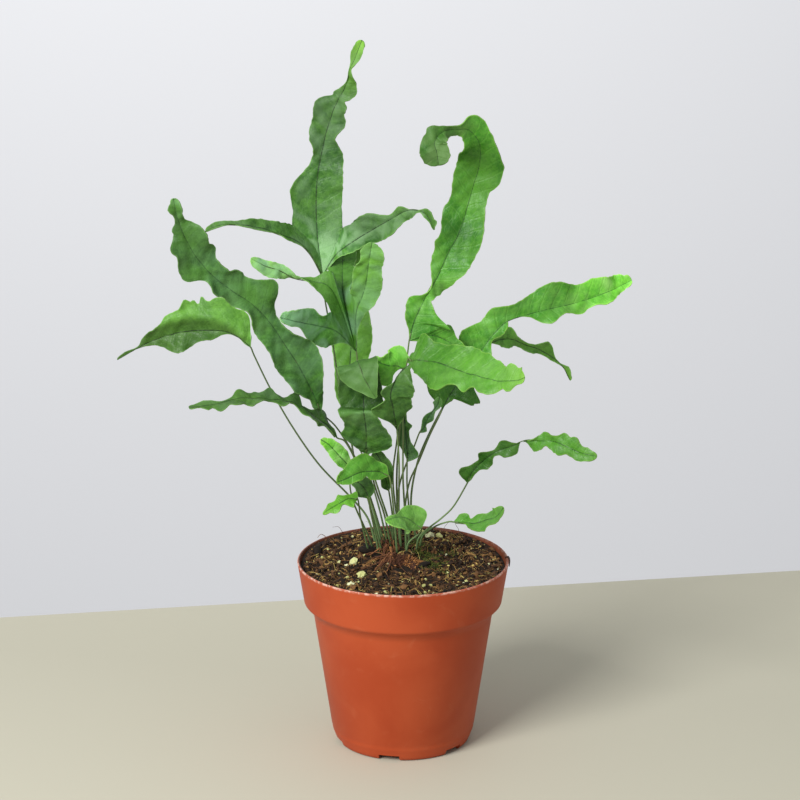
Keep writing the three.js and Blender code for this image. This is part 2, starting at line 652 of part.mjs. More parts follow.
// The rib's place at station u, with the blade's facing and its direction to the right.
function ribFrame(lobe, u) {
  const row = between(lobe.stations, u);
  const last = lobe.stations.length - 1;
  const before = vector(between(lobe.stations, Math.max(u - 0.05, 0)));
  const after = vector(between(lobe.stations, Math.min(u + 0.05, last)));
  const along = after.sub(before).normalize();
  const level = lobe.across ? vector(lobe.across).cross(along) : vector(lobe.face);
  const facing = level.projectOnPlane(along).normalize();
  facing.applyAxisAngle(along, radians(row[5]));
  const right = new THREE.Vector3().crossVectors(along, facing);
  return { place: vector(row), facing, right };
}

// The blade's ruffle: a wave along the rib, shifted from one margin to the other.
function wave(lobe, u, side) {
  const [, length, shift] = lobe.waves;
  return (2 * Math.PI * (lobe.lengthAt(u) + shift * side)) / length + side;
}

// Half the blade's width on one side: scalloped, and rounded off over the last stretch.
function halfWidth(lobe, u, side) {
  const tipStart = lobe.stations.length - 2;
  const column = side < 0 ? 3 : 4;
  const half = Math.max(between(lobe.stations, Math.min(u, tipStart))[column], 0);
  const toTip = Math.max(u - tipStart, 0);
  return half * Math.sqrt(1 - toTip * toTip) * (1 + SCALLOP * Math.cos(wave(lobe, u, side)));
}

// The margin on one side (-1 left, 1 right) at station u, before the ruffle lifts it.
function freeMargin(lobe, u, side) {
  const frame = ribFrame(lobe, u);
  const half = halfWidth(lobe, u, side);
  const lift = radians(lobe.fold);
  return frame.place.clone()
    .addScaledVector(frame.right, side * half * Math.cos(lift))
    .addScaledVector(frame.facing, half * Math.sin(lift));
}

function margin(lobe, u, side, seam) {
  if (!seam) {
    return freeMargin(lobe, u, side);
  }
  if (u <= lobe.join) {
    const base = lobe.stations[0].slice(0, 3);
    return vector(between([base, ...seam], (seam.length * u) / lobe.join));
  }
  const fade = Math.max(1 - (u - lobe.join), 0) ** 2;
  const step = vector(seam[seam.length - 1]).sub(freeMargin(lobe, lobe.join, side));
  return freeMargin(lobe, u, side).addScaledVector(step, fade);
}

// Stations of a lobe's rows: even rows along a shared seam, then about ROW_STEP apart.
function rowStations(lobe) {
  const last = lobe.stations.length - 1;
  const start = lobe.join ?? 0;
  const rows = [];
  for (let i = 0; i < SEAM_ROWS && start > 0; i += 1) {
    rows.push((start * i) / SEAM_ROWS);
  }
  for (let i = start; i < last; i += 1) {
    const span = vector(lobe.stations[i]).distanceTo(vector(lobe.stations[i + 1]));
    const count = Math.max(1, Math.round(span / ROW_STEP));
    for (let k = 0; k < count && i < last - 1; k += 1) {
      rows.push(i + k / count);
    }
  }
  return [...rows, ...TIP_ROWS.map((f) => last - 1 + f), last];
}

// One row of points across the blade, from the left margin over the rib to the right one.
function bladeRow(lobe, u, seams) {
  const { place, facing } = ribFrame(lobe, u);
  const [height] = lobe.waves;
  const row = [];
  for (let column = -COLUMNS; column <= COLUMNS; column += 1) {
    const side = Math.sign(column);
    const out = Math.abs(column) / COLUMNS;
    const seam = side < 0 ? seams.left : seams.right;
    const edge = side === 0 ? place : margin(lobe, u, side, seam);
    const half = edge.distanceTo(place);
    const free = seam ? THREE.MathUtils.clamp(u - lobe.join, 0, 1) : 1;
    const ruffle = height * Math.sin(wave(lobe, u, side)) * free * Math.min(half / 4, 1) * out * out;
    row.push(place.clone().lerp(edge, out).addScaledVector(facing, ruffle));
  }
  return row;
}

// The lobe's surface as points with their half thickness, and triangles facing the viewer.
function lobeSheet(lobe, seams, sheet) {
  const stations = rowStations(lobe);
  const rows = stations.map((u) => bladeRow(lobe, u, seams));
  const width = 2 * COLUMNS + 1;
  const first = sheet.points.length;
  const add = (point, column) => {
    const out = Math.abs(column - COLUMNS) / COLUMNS;
    sheet.points.push(point);
    sheet.halves.push(THREE.MathUtils.lerp(RIB_HALF, MARGIN_HALF, out));
  };
  add(rows[0][COLUMNS], COLUMNS);
  for (const row of rows.slice(1, -1)) {
    row.forEach(add);
  }
  add(rows[rows.length - 1][COLUMNS], COLUMNS);
  const tip = sheet.points.length - 1;
  const index = (row, column) => first + 1 + (row - 1) * width + column;
  for (let column = 0; column < width - 1; column += 1) {
    sheet.triangles.push([first, index(1, column + 1), index(1, column)]);
    for (let row = 1; row < rows.length - 2; row += 1) {
      const [a, b] = [index(row, column), index(row, column + 1)];
      const [d, c] = [index(row + 1, column), index(row + 1, column + 1)];
      const halves = column < COLUMNS ? [[a, b, d], [b, c, d]] : [[a, b, c], [a, c, d]];
      sheet.triangles.push(...halves);
    }
    sheet.triangles.push([tip, index(rows.length - 2, column), index(rows.length - 2, column + 1)]);
  }
}

// Points that two lobes share along their seam become one.
function weld(sheet) {
  const key = (point) => point.toArray().map((value) => Math.round(value * 1e3)).join();
  const known = new Map();
  const points = [];
  const halves = [];
  const renamed = sheet.points.map((point, i) => {
    const name = key(point);
    if (!known.has(name)) {
      known.set(name, points.length);
      points.push(point);
      halves.push(sheet.halves[i]);
    }
    return known.get(name);
  });
  const triangles = sheet.triangles.map((corners) => corners.map((corner) => renamed[corner]));
  return { points, halves, triangles };
}

function sheetNormals({ points, triangles }) {
  const normals = points.map(() => new THREE.Vector3());
  for (const [a, b, c] of triangles) {
    const across = points[b].clone().sub(points[a]);
    const normal = across.cross(points[c].clone().sub(points[a]));
    for (const corner of [a, b, c]) {
      normals[corner].add(normal);
    }
  }
  return normals.map((normal) => normal.normalize());
}

// A closed blade: the sheet's front, the same triangles on its back, and a rim between them.
function thicken(sheet) {
  const normals = sheetNormals(sheet);
  const count = sheet.points.length;
  const face = (sign) => sheet.points.map((point, i) => (
    point.clone().addScaledVector(normals[i], sign * sheet.halves[i])));
  const corners = [...face(1), ...face(-1)];
  const triangles = [...sheet.triangles];
  const edges = new Map();
  for (const [a, b, c] of sheet.triangles) {
    triangles.push([a + count, c + count, b + count]);
    for (const [from, to] of [[a, b], [b, c], [c, a]]) {
      edges.set(`${from},${to}`, [from, to]);
    }
  }
  for (const [from, to] of edges.values()) {
    if (!edges.has(`${to},${from}`)) {
      triangles.push([from, from + count, to + count], [from, to + count, to]);
    }
  }
  const geometry = new THREE.BufferGeometry().setFromPoints(corners);
  geometry.setIndex(triangles.flat());
  return geometry;
}

function buildBlade(frond) {
  const sheet = { points: [], halves: [], triangles: [] };
  frond.lobes.forEach((lobe, i) => {
    const curve = new THREE.CatmullRomCurve3(lobe.stations.map(vector), false, 'catmullrom');
    const last = lobe.stations.length - 1;
    const total = curve.getLength();
    lobe.lengthAt = (u) => (total * u) / last;
    const seams = {
      left: i > 0 ? frond.seams[i - 1] : null,
      right: i < frond.lobes.length - 1 ? frond.seams[i] : null,
    };
    lobeSheet(lobe, seams, sheet);
  });
  return toSolid(thicken(weld(sheet)));
}

// The stipe's points: straight up out of the soil, then along the stalk and under the rib.
function stipePath(frond) {
  const points = frond.stipe.map(vector);
  const [soil, next] = points;
  const root = soil.clone().sub(next).setLength(ROOT_DEPTH).add(soil);
  const { stations } = frond.lobes[frond.main ?? 0];
  const underRib = vector(between(stations, RIB_OVERLAP));
  return { root, soil, curve: new THREE.CatmullRomCurve3([root, ...points, underRib], false, 'catmullrom') };
}

function buildFrond(frond) {
  const { curve } = stipePath(frond);
  const steps = Math.max(8, Math.round(curve.getLength() / STIPE_STEP));
  return buildBlade(frond).add(toSolid(tube(curve, STIPE_RADIUS, STIPE_SIDES, steps)));
}

// The plain hole that a stipe stands in, open to the air above the soil.
function stipeHole(frond) {
  const { root, soil } = stipePath(frond);
  const along = soil.clone().sub(root).normalize();
  const bottom = root.clone().addScaledVector(along, -GAP);
  const top = soil.clone().addScaledVector(along, HOLE_ABOVE);
  return toSolid(tube(new THREE.LineCurve3(bottom, top), STIPE_RADIUS + HOLE_CLEARANCE, STIPE_SIDES, 1));
}

// ---- The whole plant ---------------------------------------------------------------

const plant = new THREE.Group();
let soil = buildSoil().subtract(buildRhizome(GAP));
let rhizome = buildRhizome(0);
for (const frond of Object.values(FRONDS)) {
  const hole = stipeHole(frond);
  soil = soil.subtract(hole);
  rhizome = rhizome.subtract(hole);
}
plant.add(piece('pot', toGeometry(buildPot()), '#b9532f', 0.5));
plant.add(piece('soil', toGeometry(soil), '#3a2a1e', 0.95));
plant.add(piece('rhizome', toGeometry(rhizome), '#7a4a26', 0.9));
for (const [name, frond] of Object.entries(FRONDS)) {
  plant.add(piece(name, toGeometry(buildFrond(frond)), frond.colour, 0.55));
}

export default plant;
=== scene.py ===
"""Fine visual pieces of a potted fern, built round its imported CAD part.

Every frond is rebuilt with a fine, waved blade and a tapering rib, the soil gets its
grains, fibres and moss, and the pot its moulded details. Lengths in the tables are in
millimetres, in the part's frame; Blender works in metres.
"""

import logging
import math
import random
from collections.abc import Sequence
from dataclasses import dataclass, field
from enum import Enum

import bmesh
import bpy
import numpy as np
from mathutils import Euler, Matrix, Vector, noise


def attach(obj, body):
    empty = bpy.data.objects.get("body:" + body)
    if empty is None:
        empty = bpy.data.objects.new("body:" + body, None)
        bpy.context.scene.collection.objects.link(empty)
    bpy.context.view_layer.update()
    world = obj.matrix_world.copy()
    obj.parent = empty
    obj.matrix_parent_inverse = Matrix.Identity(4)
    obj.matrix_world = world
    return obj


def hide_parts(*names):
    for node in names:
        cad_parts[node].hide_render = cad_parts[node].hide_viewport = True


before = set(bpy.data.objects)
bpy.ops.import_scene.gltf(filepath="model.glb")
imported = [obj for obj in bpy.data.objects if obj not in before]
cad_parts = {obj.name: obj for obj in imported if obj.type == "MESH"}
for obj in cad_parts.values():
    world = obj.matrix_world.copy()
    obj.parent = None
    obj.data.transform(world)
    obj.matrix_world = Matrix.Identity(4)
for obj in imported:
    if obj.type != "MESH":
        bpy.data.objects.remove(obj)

LOG = logging.getLogger("fern")
MM = 0.001                  # a millimetre in metres

Row = tuple[float, ...]
Colour = tuple[float, float, float]
Span = tuple[float, float]
Sheet = tuple[np.ndarray, np.ndarray, np.ndarray]
Line = tuple[np.ndarray, np.ndarray]
Socket = bpy.types.NodeSocket

# ---- Sizes shared with the CAD part --------------------------------------------------

RIM_RADIUS = 52.8           # outside, at the lip
POT_HEIGHT = 94.0
WALL = 1.3
BAND_BOTTOM_RADIUS = 49.4   # outside, at the band's lower edge
BAND_BOTTOM = 73.5
SHOULDER_RADIUS = 44.7      # outside, where the tapered body meets the band
SHOULDER = 67.0
BODY_FOOT_RADIUS = 35.7     # outside, where the body rounds into the foot
BODY_FOOT = 6.5
FOOT_RADIUS = 33.4
FLOOR = 3.2                 # underside of the floor's raised channel
CHANNEL_INNER = 20.0
CHANNEL_OUTER = 30.5
NOTCH_COUNT = 6
NOTCH_WIDTH = 10.5
NOTCH_HEIGHT = 2.6
NOTCH_TURN = -12.0          # degrees from the front to the first notch
DRAIN_RADIUS = 3.4
DRAIN_RING = 25.2           # radius of the ring on which the drain holes lie

GAP = 0.3                   # between the soil and the pot
SOIL_EDGE = 89.0            # the soil's height at the wall
CROWN_X = -3.0
CROWN_Y = 10.0
CROWN_RISE = 5.5
CROWN_SPREAD = 24.0
CLOD = 1.1                  # height of the lumps
CLOD_FADE = (38.0, 50.0)    # radii between which the lumps die away
RHIZOME_PATH = ((-12, -5, 90.5), (-7, -7, 93), (-1, -5, 94), (5, -8, 93), (10, -6, 90))

ROOT_DEPTH = 8.0            # how far a stipe stands in the soil
RIB_OVERLAP = 0.45          # how far it runs on under the blade, in stations
TO_FRONT = (0, -1, 0.25)
TO_FRONT_UP = (0, -0.7, 0.7)
TO_RIGHT = (1, 0, 0)

# ---- Fineness and relief of the blades -----------------------------------------------

COLUMNS = 11                # columns of points on each side of a rib
SEAM_ROWS = 22              # rows along a seam between two lobes
ROW_STEP = 0.85             # length of blade between two rows
TIP_ROWS = 10               # rows round a blade's tip
BLADE = 0.5                 # thickness
VEIN_STEP = 5.4             # spacing of the lateral veins along a rib
VEIN_LEAN = 0.55            # how far they lean towards the tip, per unit outward
QUILT = 0.08                # height of the cushions between lateral veins
CUSHION = 0.42              # height of the larger, uneven cushions
CUSHION_LENGTH = 10.5       # their length along the rib
CUSHION_SWAY = 2.6          # how far they stray from even spacing
RIDGE_PAINTED_SHADE = 0.5           # painted shade: how much darker a blade is painted on the rib's side of its ridge
RIDGE_RUN = 3.0             # the station at which a ridge reaches its full distance
RIDGE_WIDTH = 3.4
GROOVE = 0.25               # depth of the groove over the rib
GROOVE_WIDTH = 0.8
CRIMP = 0.22                # height of the small waves at the margin
CRIMP_LENGTH = 6.3
SCALLOP = 0.09              # share of the half-width by which a plain margin runs in and out
CRENATION = 0.12            # depth of the margin's small rounded teeth
TEETH = ((4.9, 1.0, 2), (3.1, 0.7, 1))   # their waves: length, share and phase
FULL_WIDTH = 4.0            # half-width from which on a blade has its full relief
SEAM_MARGIN = 9.0           # added to the distance to the margin along a seam, which has none
AGEING = 0.55               # share of a lobe's length beyond which its tip is younger
TONE_EDGE = 4.0             # width over which the ridge's painted shade fades out
JOIN_DISTANCE = 0.01        # points closer than this are one


class Leaf(Enum):
    """The kinds of leaf colour, named after the record's material slots."""

    DEEP = "deep_green_leaf"
    BLUISH = "bluish_leaf"
    FRESH = "fresh_green_leaf"
    PALE = "pale_green_leaf"


@dataclass(frozen=True)
class LeafFinish:
    """Colours of one kind of leaf, in linear RGB."""

    shade: Colour
    light: Colour
    bloom: Colour
    bloom_share: float
    rib: Colour
    vein: Colour
    margin: Colour
    under: Colour
    roughness: float
    specular: float
    rib_share: float
    vein_share: float


@dataclass(frozen=True)
class Tone:
    """What sets one lobe's colour apart from others of its kind.

    Args:
        bright: Factor on the colour's brightness.
        young: Share of fresh yellow-green mixed in.
        bloom: Factor on the waxy bloom.
        tip: Share of yellow-green added towards the tip.
        along: Rows of station, factor on brightness and factor on bloom, along the rib; in places they paint
            shade, light or sheen.
    """

    bright: float = 1.0
    young: float = 0.0
    bloom: float = 1.0
    tip: float = 0.15
    along: tuple[Row, ...] = ((0, 1, 1),)


@dataclass(frozen=True)
class Ruffle:
    """The wave along a blade's margins: its height, length and shift along the rib."""

    height: float
    length: float
    shift: float


def unit(vectors: np.ndarray) -> np.ndarray:
    """Returns rows of vectors scaled to length one."""
    return vectors / np.linalg.norm(vectors, axis=-1, keepdims=True)


def between(rows: np.ndarray, u: np.ndarray) -> np.ndarray:
    """Reads a smooth curve through rows of numbers at each station of u.

    Args:
        rows: The rows, one at each whole station.
        u: The stations to read at, from 0 up.

    Returns:
        One row of numbers for each station of u.
    """
    padded = np.vstack([2 * rows[0] - rows[1], rows, 2 * rows[-1] - rows[-2]])
    i = np.clip(np.floor(u), 0, len(rows) - 2).astype(int)
    f = (u - i)[:, None]
    a, b, c, d = (padded[i + k] for k in range(4))
    slope_in, slope_out, step = (c - a) / 2, (d - b) / 2, c - b
    bend = 3 * step - 2 * slope_in - slope_out + f * (slope_in + slope_out - 2 * step)
    return b + f * (slope_in + f * bend)


def through(pairs: np.ndarray, u: np.ndarray) -> np.ndarray:
    """Reads a margin's half-width at each station of u, rounded off at the last pair.

    Args:
        pairs: Rows of station and half-width.
        u: The stations to read at.

    Returns:
        The half-width at each station of u, never below 0.
    """
    knots, widths = pairs.T
    slopes = np.gradient(widths, knots)
    i = np.clip(np.searchsorted(knots, u, side="right") - 1, 0, len(knots) - 2)
    gap = knots[i + 1] - knots[i]
    f = np.clip((u - knots[i]) / gap, 0, 1)
    rise = widths[i + 1] - widths[i]
    pull = gap * (slopes[i] + slopes[i + 1]) - 2 * rise
    bend = 3 * rise - gap * (2 * slopes[i] + slopes[i + 1]) + f * pull
    smooth_width = widths[i] + f * (gap * slopes[i] + f * bend)
    to_tip = np.clip((u - knots[-2]) / (knots[-1] - knots[-2]), 0, 1)
    return np.maximum(np.where(to_tip > 0, widths[-2] * np.sqrt(1 - to_tip**2), smooth_width), 0)


@dataclass(frozen=True)
class Lobe:
    """One lobe of a blade.

    Args:
        stations: Rows of x, y, z on the rib, from the base to the tip.
        fold: Lift of both halves, like an open book, in degrees.
        ruffle: The wave along the margins.
        turns: The blade's turn about its rib at each station, in degrees.
        widths: Half-widths left and right at each station, for a margin without its own.
        face: The direction in which the lobe faces, before its turns.
        across: In its place, the direction across a lobe that folds over.
        join: The station of the corner between this lobe and the next, 0 for none.
        ridge: Height of a ridge along the blade, and its distance to the right of the rib; painted shade
            darkens the rib's side of it.
        left: The left margin, as pairs of station and half-width.
        right: The same for the right margin.
        tone: How its colour differs.
    """

    stations: tuple[Row, ...]
    fold: float
    ruffle: Ruffle
    turns: Row = ()
    widths: tuple[Row, ...] = ()
    face: Row = TO_FRONT
    across: Row | None = None
    join: int = 0
    ridge: tuple[float, float] = (0.0, 0.0)
    left: tuple[Row, ...] = ()
    right: tuple[Row, ...] = ()
    tone: Tone = Tone()

    @property
    def rows(self) -> np.ndarray:
        """For each station x, y, z, the half-widths left and right, and the turn.

        Returns:
            An array with one row of six numbers for each station.
        """
        count = len(self.stations)
        return np.column_stack([
            np.array(self.stations, float),
            self.widths or np.zeros((count, 2)),
            self.turns or np.zeros(count),
        ])

    @property
    def last(self) -> int:
        """The tip's station."""
        return len(self.stations) - 1

    def length(self) -> float:
        """Returns the rib's length."""
        points = between(self.rows, np.linspace(0, self.last, 40 * self.last))[:, :3]
        return float(np.linalg.norm(np.diff(points, axis=0), axis=1).sum())

    def rib(self, u: np.ndarray) -> tuple[np.ndarray, np.ndarray, np.ndarray]:
        """Returns the rib's place, the blade's facing and its direction to the right.

        Args:
            u: Stations.

        Returns:
            Three arrays with one row of x, y, z for each station.
        """
        row = between(self.rows, u)
        ahead = between(self.rows, np.minimum(u + 0.05, self.last))[:, :3]
        behind = between(self.rows, np.maximum(u - 0.05, 0))[:, :3]
        along = unit(ahead - behind)
        level = np.cross(self.across, along) if self.across else np.array(self.face) + 0 * along
        facing = unit(level - (level * along).sum(1, keepdims=True) * along)
        turn = np.radians(row[:, 5:6])
        facing = facing * np.cos(turn) + np.cross(along, facing) * np.sin(turn)
        return row[:, :3], facing, np.cross(along, facing)

    def wave(self, u: np.ndarray, side: int) -> np.ndarray:
        """Returns the ruffle's phase on one side (-1 left, 1 right)."""
        run = self.length() * u / self.last + self.ruffle.shift * side
        return 2 * math.pi * run / self.ruffle.length + side

    def half_width(self, u: np.ndarray, side: int) -> np.ndarray:
        """Returns half the blade's width on one side, scalloped and with a round tip.

        Args:
            u: Stations.
            side: -1 for the left, 1 for the right.

        Returns:
            The half-width at each station.
        """
        run = 2 * math.pi * self.length() * u / self.last
        teeth = sum(share * np.sin(run / length + phase * side) for length, share, phase in TEETH)
        traced = self.left if side < 0 else self.right
        if traced:
            half = through(np.array(traced), u)
        else:
            start = self.last - 1
            half = np.maximum(between(self.rows, np.minimum(u, start))[:, 3 if side < 0 else 4], 0)
            half = half * (1 + SCALLOP * np.cos(self.wave(u, side)))
            half = half * np.sqrt(1 - np.clip(u - start, 0, 1) ** 2)
        return half + CRENATION * teeth * np.clip(half / FULL_WIDTH, 0, 1)

    def free_margin(self, u: np.ndarray, side: int) -> np.ndarray:
        """Returns the margin on one side before the ruffle lifts it.

        Args:
            u: Stations.
            side: -1 for the left, 1 for the right.

        Returns:
            The margin's place at each station.
        """
        place, facing, right = self.rib(u)
        half = self.half_width(u, side)[:, None]
        lift = math.radians(self.fold)
        return place + side * half * math.cos(lift) * right + half * math.sin(lift) * facing

    def margin(self, u: np.ndarray, side: int, seam: tuple[Row, ...] | None) -> np.ndarray:
        """Returns the margin, which follows the seam up to the corner between two lobes.

        Args:
            u: Stations.
            side: -1 for the left, 1 for the right.
            seam: The line shared with the next lobe, if there is one.

        Returns:
            The margin's place at each station.
        """
        free = self.free_margin(u, side)
        if not seam:
            return free
        path = np.vstack([self.rows[0, :3], np.array(seam, float)])
        joined = between(path, np.clip(len(seam) * u / self.join, 0, len(seam)))
        fade = np.clip(1 - (u - self.join), 0, 1)[:, None] ** 2
        step = path[-1] - self.free_margin(np.array([float(self.join)]), side)
        return np.where(u[:, None] <= self.join, joined, free + step * fade)

    def ridge_place(self, u: np.ndarray) -> np.ndarray:
        """Returns the ridge's distance from the rib, which it leaves near the base."""
        return self.ridge[1] * np.minimum(u / RIDGE_RUN, 1)

    def row_stations(self) -> np.ndarray:
        """Returns the stations of the fine rows from base to tip.

        Returns:
            Rising stations, the last one at the tip.
        """
        start = float(self.join)
        seam = np.linspace(0, start, SEAM_ROWS, endpoint=False) if self.join else np.zeros(0)
        share = (self.last - 1 - start) / self.last
        count = max(2, round(self.length() * share / ROW_STEP))
        body = np.linspace(start, self.last - 1, count, endpoint=False)
        tip = self.last - 1 + np.sin(np.linspace(0, math.pi / 2, TIP_ROWS))
        return np.concatenate([seam, body, tip])

    def relief(self, u: np.ndarray, side: int, out: float, half: np.ndarray, free: np.ndarray) -> np.ndarray:
        """Returns how far one column of points stands off the flat blade.

        Args:
            u: The rows' stations.
            side: The side of the rib, -1 left or 1 right.
            out: The column's place between the rib, 0, and the margin, 1.
            half: The blade's half-width at each row.
            free: Share of the waves at each row, which fade towards a seam.

        Returns:
            The lift towards the upper face at each row.
        """
        run = self.length() * u / self.last
        across = out * half
        wide = np.minimum(half / FULL_WIDTH, 1)
        lift = self.ruffle.height * np.sin(self.wave(u, side)) * free * wide * out**2
        lift += CRIMP * np.sin(2 * math.pi * run / CRIMP_LENGTH + 4 * side) * free * wide * out**4
        veins = 2 * math.pi * (run - VEIN_LEAN * across) / VEIN_STEP
        lift -= QUILT * np.cos(veins) * wide * math.sin(math.pi * min(out + 0.1, 1))
        lift -= GROOVE * np.exp(-((across / GROOVE_WIDTH) ** 2)) * wide
        swayed = run + CUSHION_SWAY * np.sin(run / 7.0)
        bulge = np.sin(2 * math.pi * swayed / CUSHION_LENGTH + side * 1.4 + 0.35 * across)
        lift += CUSHION * bulge * np.sin(0.55 * across + 0.9 * side) * wide * free
        off = (side * across - self.ridge_place(u)) / RIDGE_WIDTH
        return lift + self.ridge[0] * np.exp(-(off**2)) * np.minimum(half / 8, 1)

    def shades(self, u: np.ndarray, base: Tone) -> np.ndarray:
        """Returns brightness, youth and bloom at each station, from the base's to the lobe's own.

        Args:
            u: Stations.
            base: The tone at the frond's base.

        Returns:
            One row of three numbers for each station.
        """
        tone = self.tone
        aged = np.clip((u / self.last - AGEING) / (1 - AGEING), 0, 1) ** 2
        own = np.clip(u / (self.join + 1), 0, 1) ** 2 if self.join else np.ones_like(u)
        stops, brights, blooms = np.array(tone.along, float).T
        return np.stack([
            (base.bright + (tone.bright - base.bright) * own) * np.interp(u, stops, brights),
            base.young + (tone.young - base.young) * own + tone.tip * aged,
            (base.bloom + (tone.bloom - base.bloom) * own) * np.interp(u, stops, blooms),
        ], axis=1)

    def sheet(self, left: tuple[Row, ...] | None, right: tuple[Row, ...] | None, base: Tone) -> Sheet:
        """Returns the fine points of the lobe and what its finish needs at each of them.

        Args:
            left: The seam with the lobe to the left, if there is one.
            right: The seam with the lobe to the right.
            base: The colour at the frond's base, from which the lobe's own grows.

        Returns:
            Points by row and column; for each the run along the rib, the distance across
            from it and the distance to the free margin; and its brightness, youth and bloom.
        """
        u = self.row_stations()
        place, facing, _ = self.rib(u)
        run = self.length() * u / self.last
        points, marks = [], []
        for column in range(-COLUMNS, COLUMNS + 1):
            side = -1 if column < 0 else 1
            seam = left if side < 0 else right
            out = abs(column) / COLUMNS
            edge = self.margin(u, side, seam)
            half = np.linalg.norm(edge - place, axis=1)
            free = np.clip(u - self.join, 0, 1) if seam else np.ones_like(u)
            lift = self.relief(u, side, out, half, free)
            points.append(place + out * (edge - place) + lift[:, None] * facing)
            inner = SEAM_MARGIN * np.clip(1 + self.join - u, 0, 1) if seam else 0.0
            marks.append(np.stack([run, side * out * half, half - out * half + inner], axis=1))
        tones = np.repeat(self.shades(u, base)[:, None], len(points), axis=1)
        marks = np.stack(marks, axis=1)
        # painted shade: the blade is darker on the rib's side of its ridge
        if self.ridge[0]:
            past = self.ridge_place(u)[:, None] + 1 - marks[:, :, 1]
            tones[:, :, 0] *= 1 - RIDGE_PAINTED_SHADE * np.clip(past / TONE_EDGE, 0, 1)
        return np.stack(points, axis=1), marks, tones


@dataclass(frozen=True)
class Frond:
    """One frond.

    Args:
        name: Its node in the CAD part.
        leaf: Its kind of leaf.
        stipe: Points on its stalk, from the soil upward.
        lobes: Its lobes, from left to right.
        main: Number of the lobe that goes on from the stipe.
        seams: Points on the line between each two lobes, up to their corner.
    """

    name: str
    leaf: Leaf
    stipe: tuple[Row, ...]
    lobes: tuple[Lobe, ...]
    main: int = 0
    seams: tuple[tuple[Row, ...], ...] = ()


# ---- The fronds ----------------------------------------------------------------------


TALL_TRILOBED = Frond(
    "frond_tall_trilobed", Leaf.DEEP, main=1,
    seams=(((-43.5, 40.5, 243), (-55, 40, 255)), ((-30, 41, 253),)),
    stipe=(
        (-11, 20, 95), (-16, 19, 117), (-23, 18, 135), (-26, 22, 149), (-30, 27, 163), (-35, 35, 195),
        (-39, 39, 218), (-40, 40, 229),
    ),
    lobes=(
        Lobe(
            face=TO_FRONT_UP, fold=8, ruffle=Ruffle(0.6, 24, 0), join=2,
            tone=Tone(0.88, bloom=1.6),
            stations=(
                (-40, 40, 229), (-46, 38, 241), (-53, 35, 248.5), (-61, 30, 253), (-70, 26, 257),
                (-80, 20, 260), (-89, 15, 261), (-96, 10, 259),
            ),
            left=(
                (0, 0), (1.5, 0.5), (2.03, 1.6), (2.65, 1.8), (2.96, 0.4), (3.23, 0.2), (3.61, 1.1),
                (4.76, 1.1), (5.23, 0.2), (6.21, 1), (6.66, 0.6), (7, 0),
            ),
            right=((2, 7.1), (2.35, 7.1), (4.01, 4.9), (5.18, 2.1), (6.61, 1.8), (7, 0)),
        ),
        Lobe(
            fold=8, ruffle=Ruffle(1.6, 21, 3), join=2,
            tone=Tone(
                0.84, bloom=1.6, tip=0.9,
                # painted highlight: brighter, waxier green near the base stands in for a pale sheen
                along=(
                    (0, 1.6, 4), (0.9, 1.8, 4), (1.5, 1.35, 2), (2.2, 1, 1), (4, 0.98, 1), (6, 0.78, 0.8),
                    (9, 0.8, 0.7), (10.5, 1, 1),
                ),
            ),
            stations=(
                (-40, 40, 229), (-42, 42, 243), (-43, 44, 257), (-43, 45, 270), (-42, 46, 281),
                (-40, 46, 291), (-38, 46, 300), (-35, 45, 310), (-32, 44, 317), (-28, 42, 325),
                (-26, 40, 333), (-23, 38, 340), (-20, 37, 348),
            ),
            turns=(0, 0, 0, 0, 0, 0, -5, -8, -10, -12, -30, -18, 0),
            left=(
                (2, 12.1), (2.32, 11.6), (3.12, 12.9), (4.33, 4.7), (4.7, 4.2), (5, 4.3), (5.65, 7.8),
                (5.96, 8.6), (6.56, 8.6), (7.23, 9.7), (7.54, 9.2), (7.79, 7.4), (8.01, 4.5), (8.34, 3.9),
                (8.69, 2.2), (9.1, 0.6), (9.8, 0.4), (10.15, 0.7), (10.6, 1.9), (11, 2.7), (11.6, 2.4),
                (11.9, 1.7), (12, 0),
            ),
            right=(
                (2, 11.2), (2.37, 12.2), (4.45, 12), (5, 10.8), (6.01, 5.4), (6.6, 8.1), (6.86, 7.9),
                (7.16, 6.1), (7.71, 6.4), (8.04, 5.6), (8.19, 4.1), (8.5, 5.6), (8.8, 6.8), (9.1, 5.6),
                (9.5, 4.2), (9.85, 2.6), (10.1, 1.2), (10.4, 1.6), (10.9, 2.4), (11.6, 2.4), (11.9, 1.6),
                (12, 0),
            ),
        ),
        Lobe(
            fold=14, ruffle=Ruffle(0.9, 25, 5), join=2,
            tone=Tone(
                0.8, bloom=2,
                # painted highlight: brighter, waxier green near the base stands in for a pale sheen
                along=((0, 1.4, 2.8), (1, 1.7, 2.8), (1.8, 1.45, 2), (3, 1, 1), (7, 1, 1)),
            ),
            stations=(
                (-40, 40, 229), (-34, 37, 240), (-26, 31, 248), (-16, 24, 256), (-6, 15, 264),
                (3, 9, 270), (11, 4, 269), (15, 1, 262),
            ),
            turns=(0, 0, 0, 0, 0, 20, 40, 60),
            left=(
                (2, 8.8), (2.18, 8.8), (2.47, 8.2), (3.31, 8.6), (3.56, 7.1), (3.76, 4.2), (4.01, 2.5),
                (4.81, 2.6), (4.96, 0.7), (5.61, 0.8), (5.94, 3.4), (6.47, 3.4), (6.79, 5.5), (7, 0),
            ),
            right=(
                (0, 0), (1.2, 2.3), (2.2, 4.9), (2.7, 5), (3.05, 6.7), (3.48, 7.3), (3.9, 7.1),
                (4.26, 5.2), (5.18, 3.5), (5.44, 1.3), (6.11, 1.7), (6.61, 0.9), (7, 0),
            ),
        ),
    ),
)
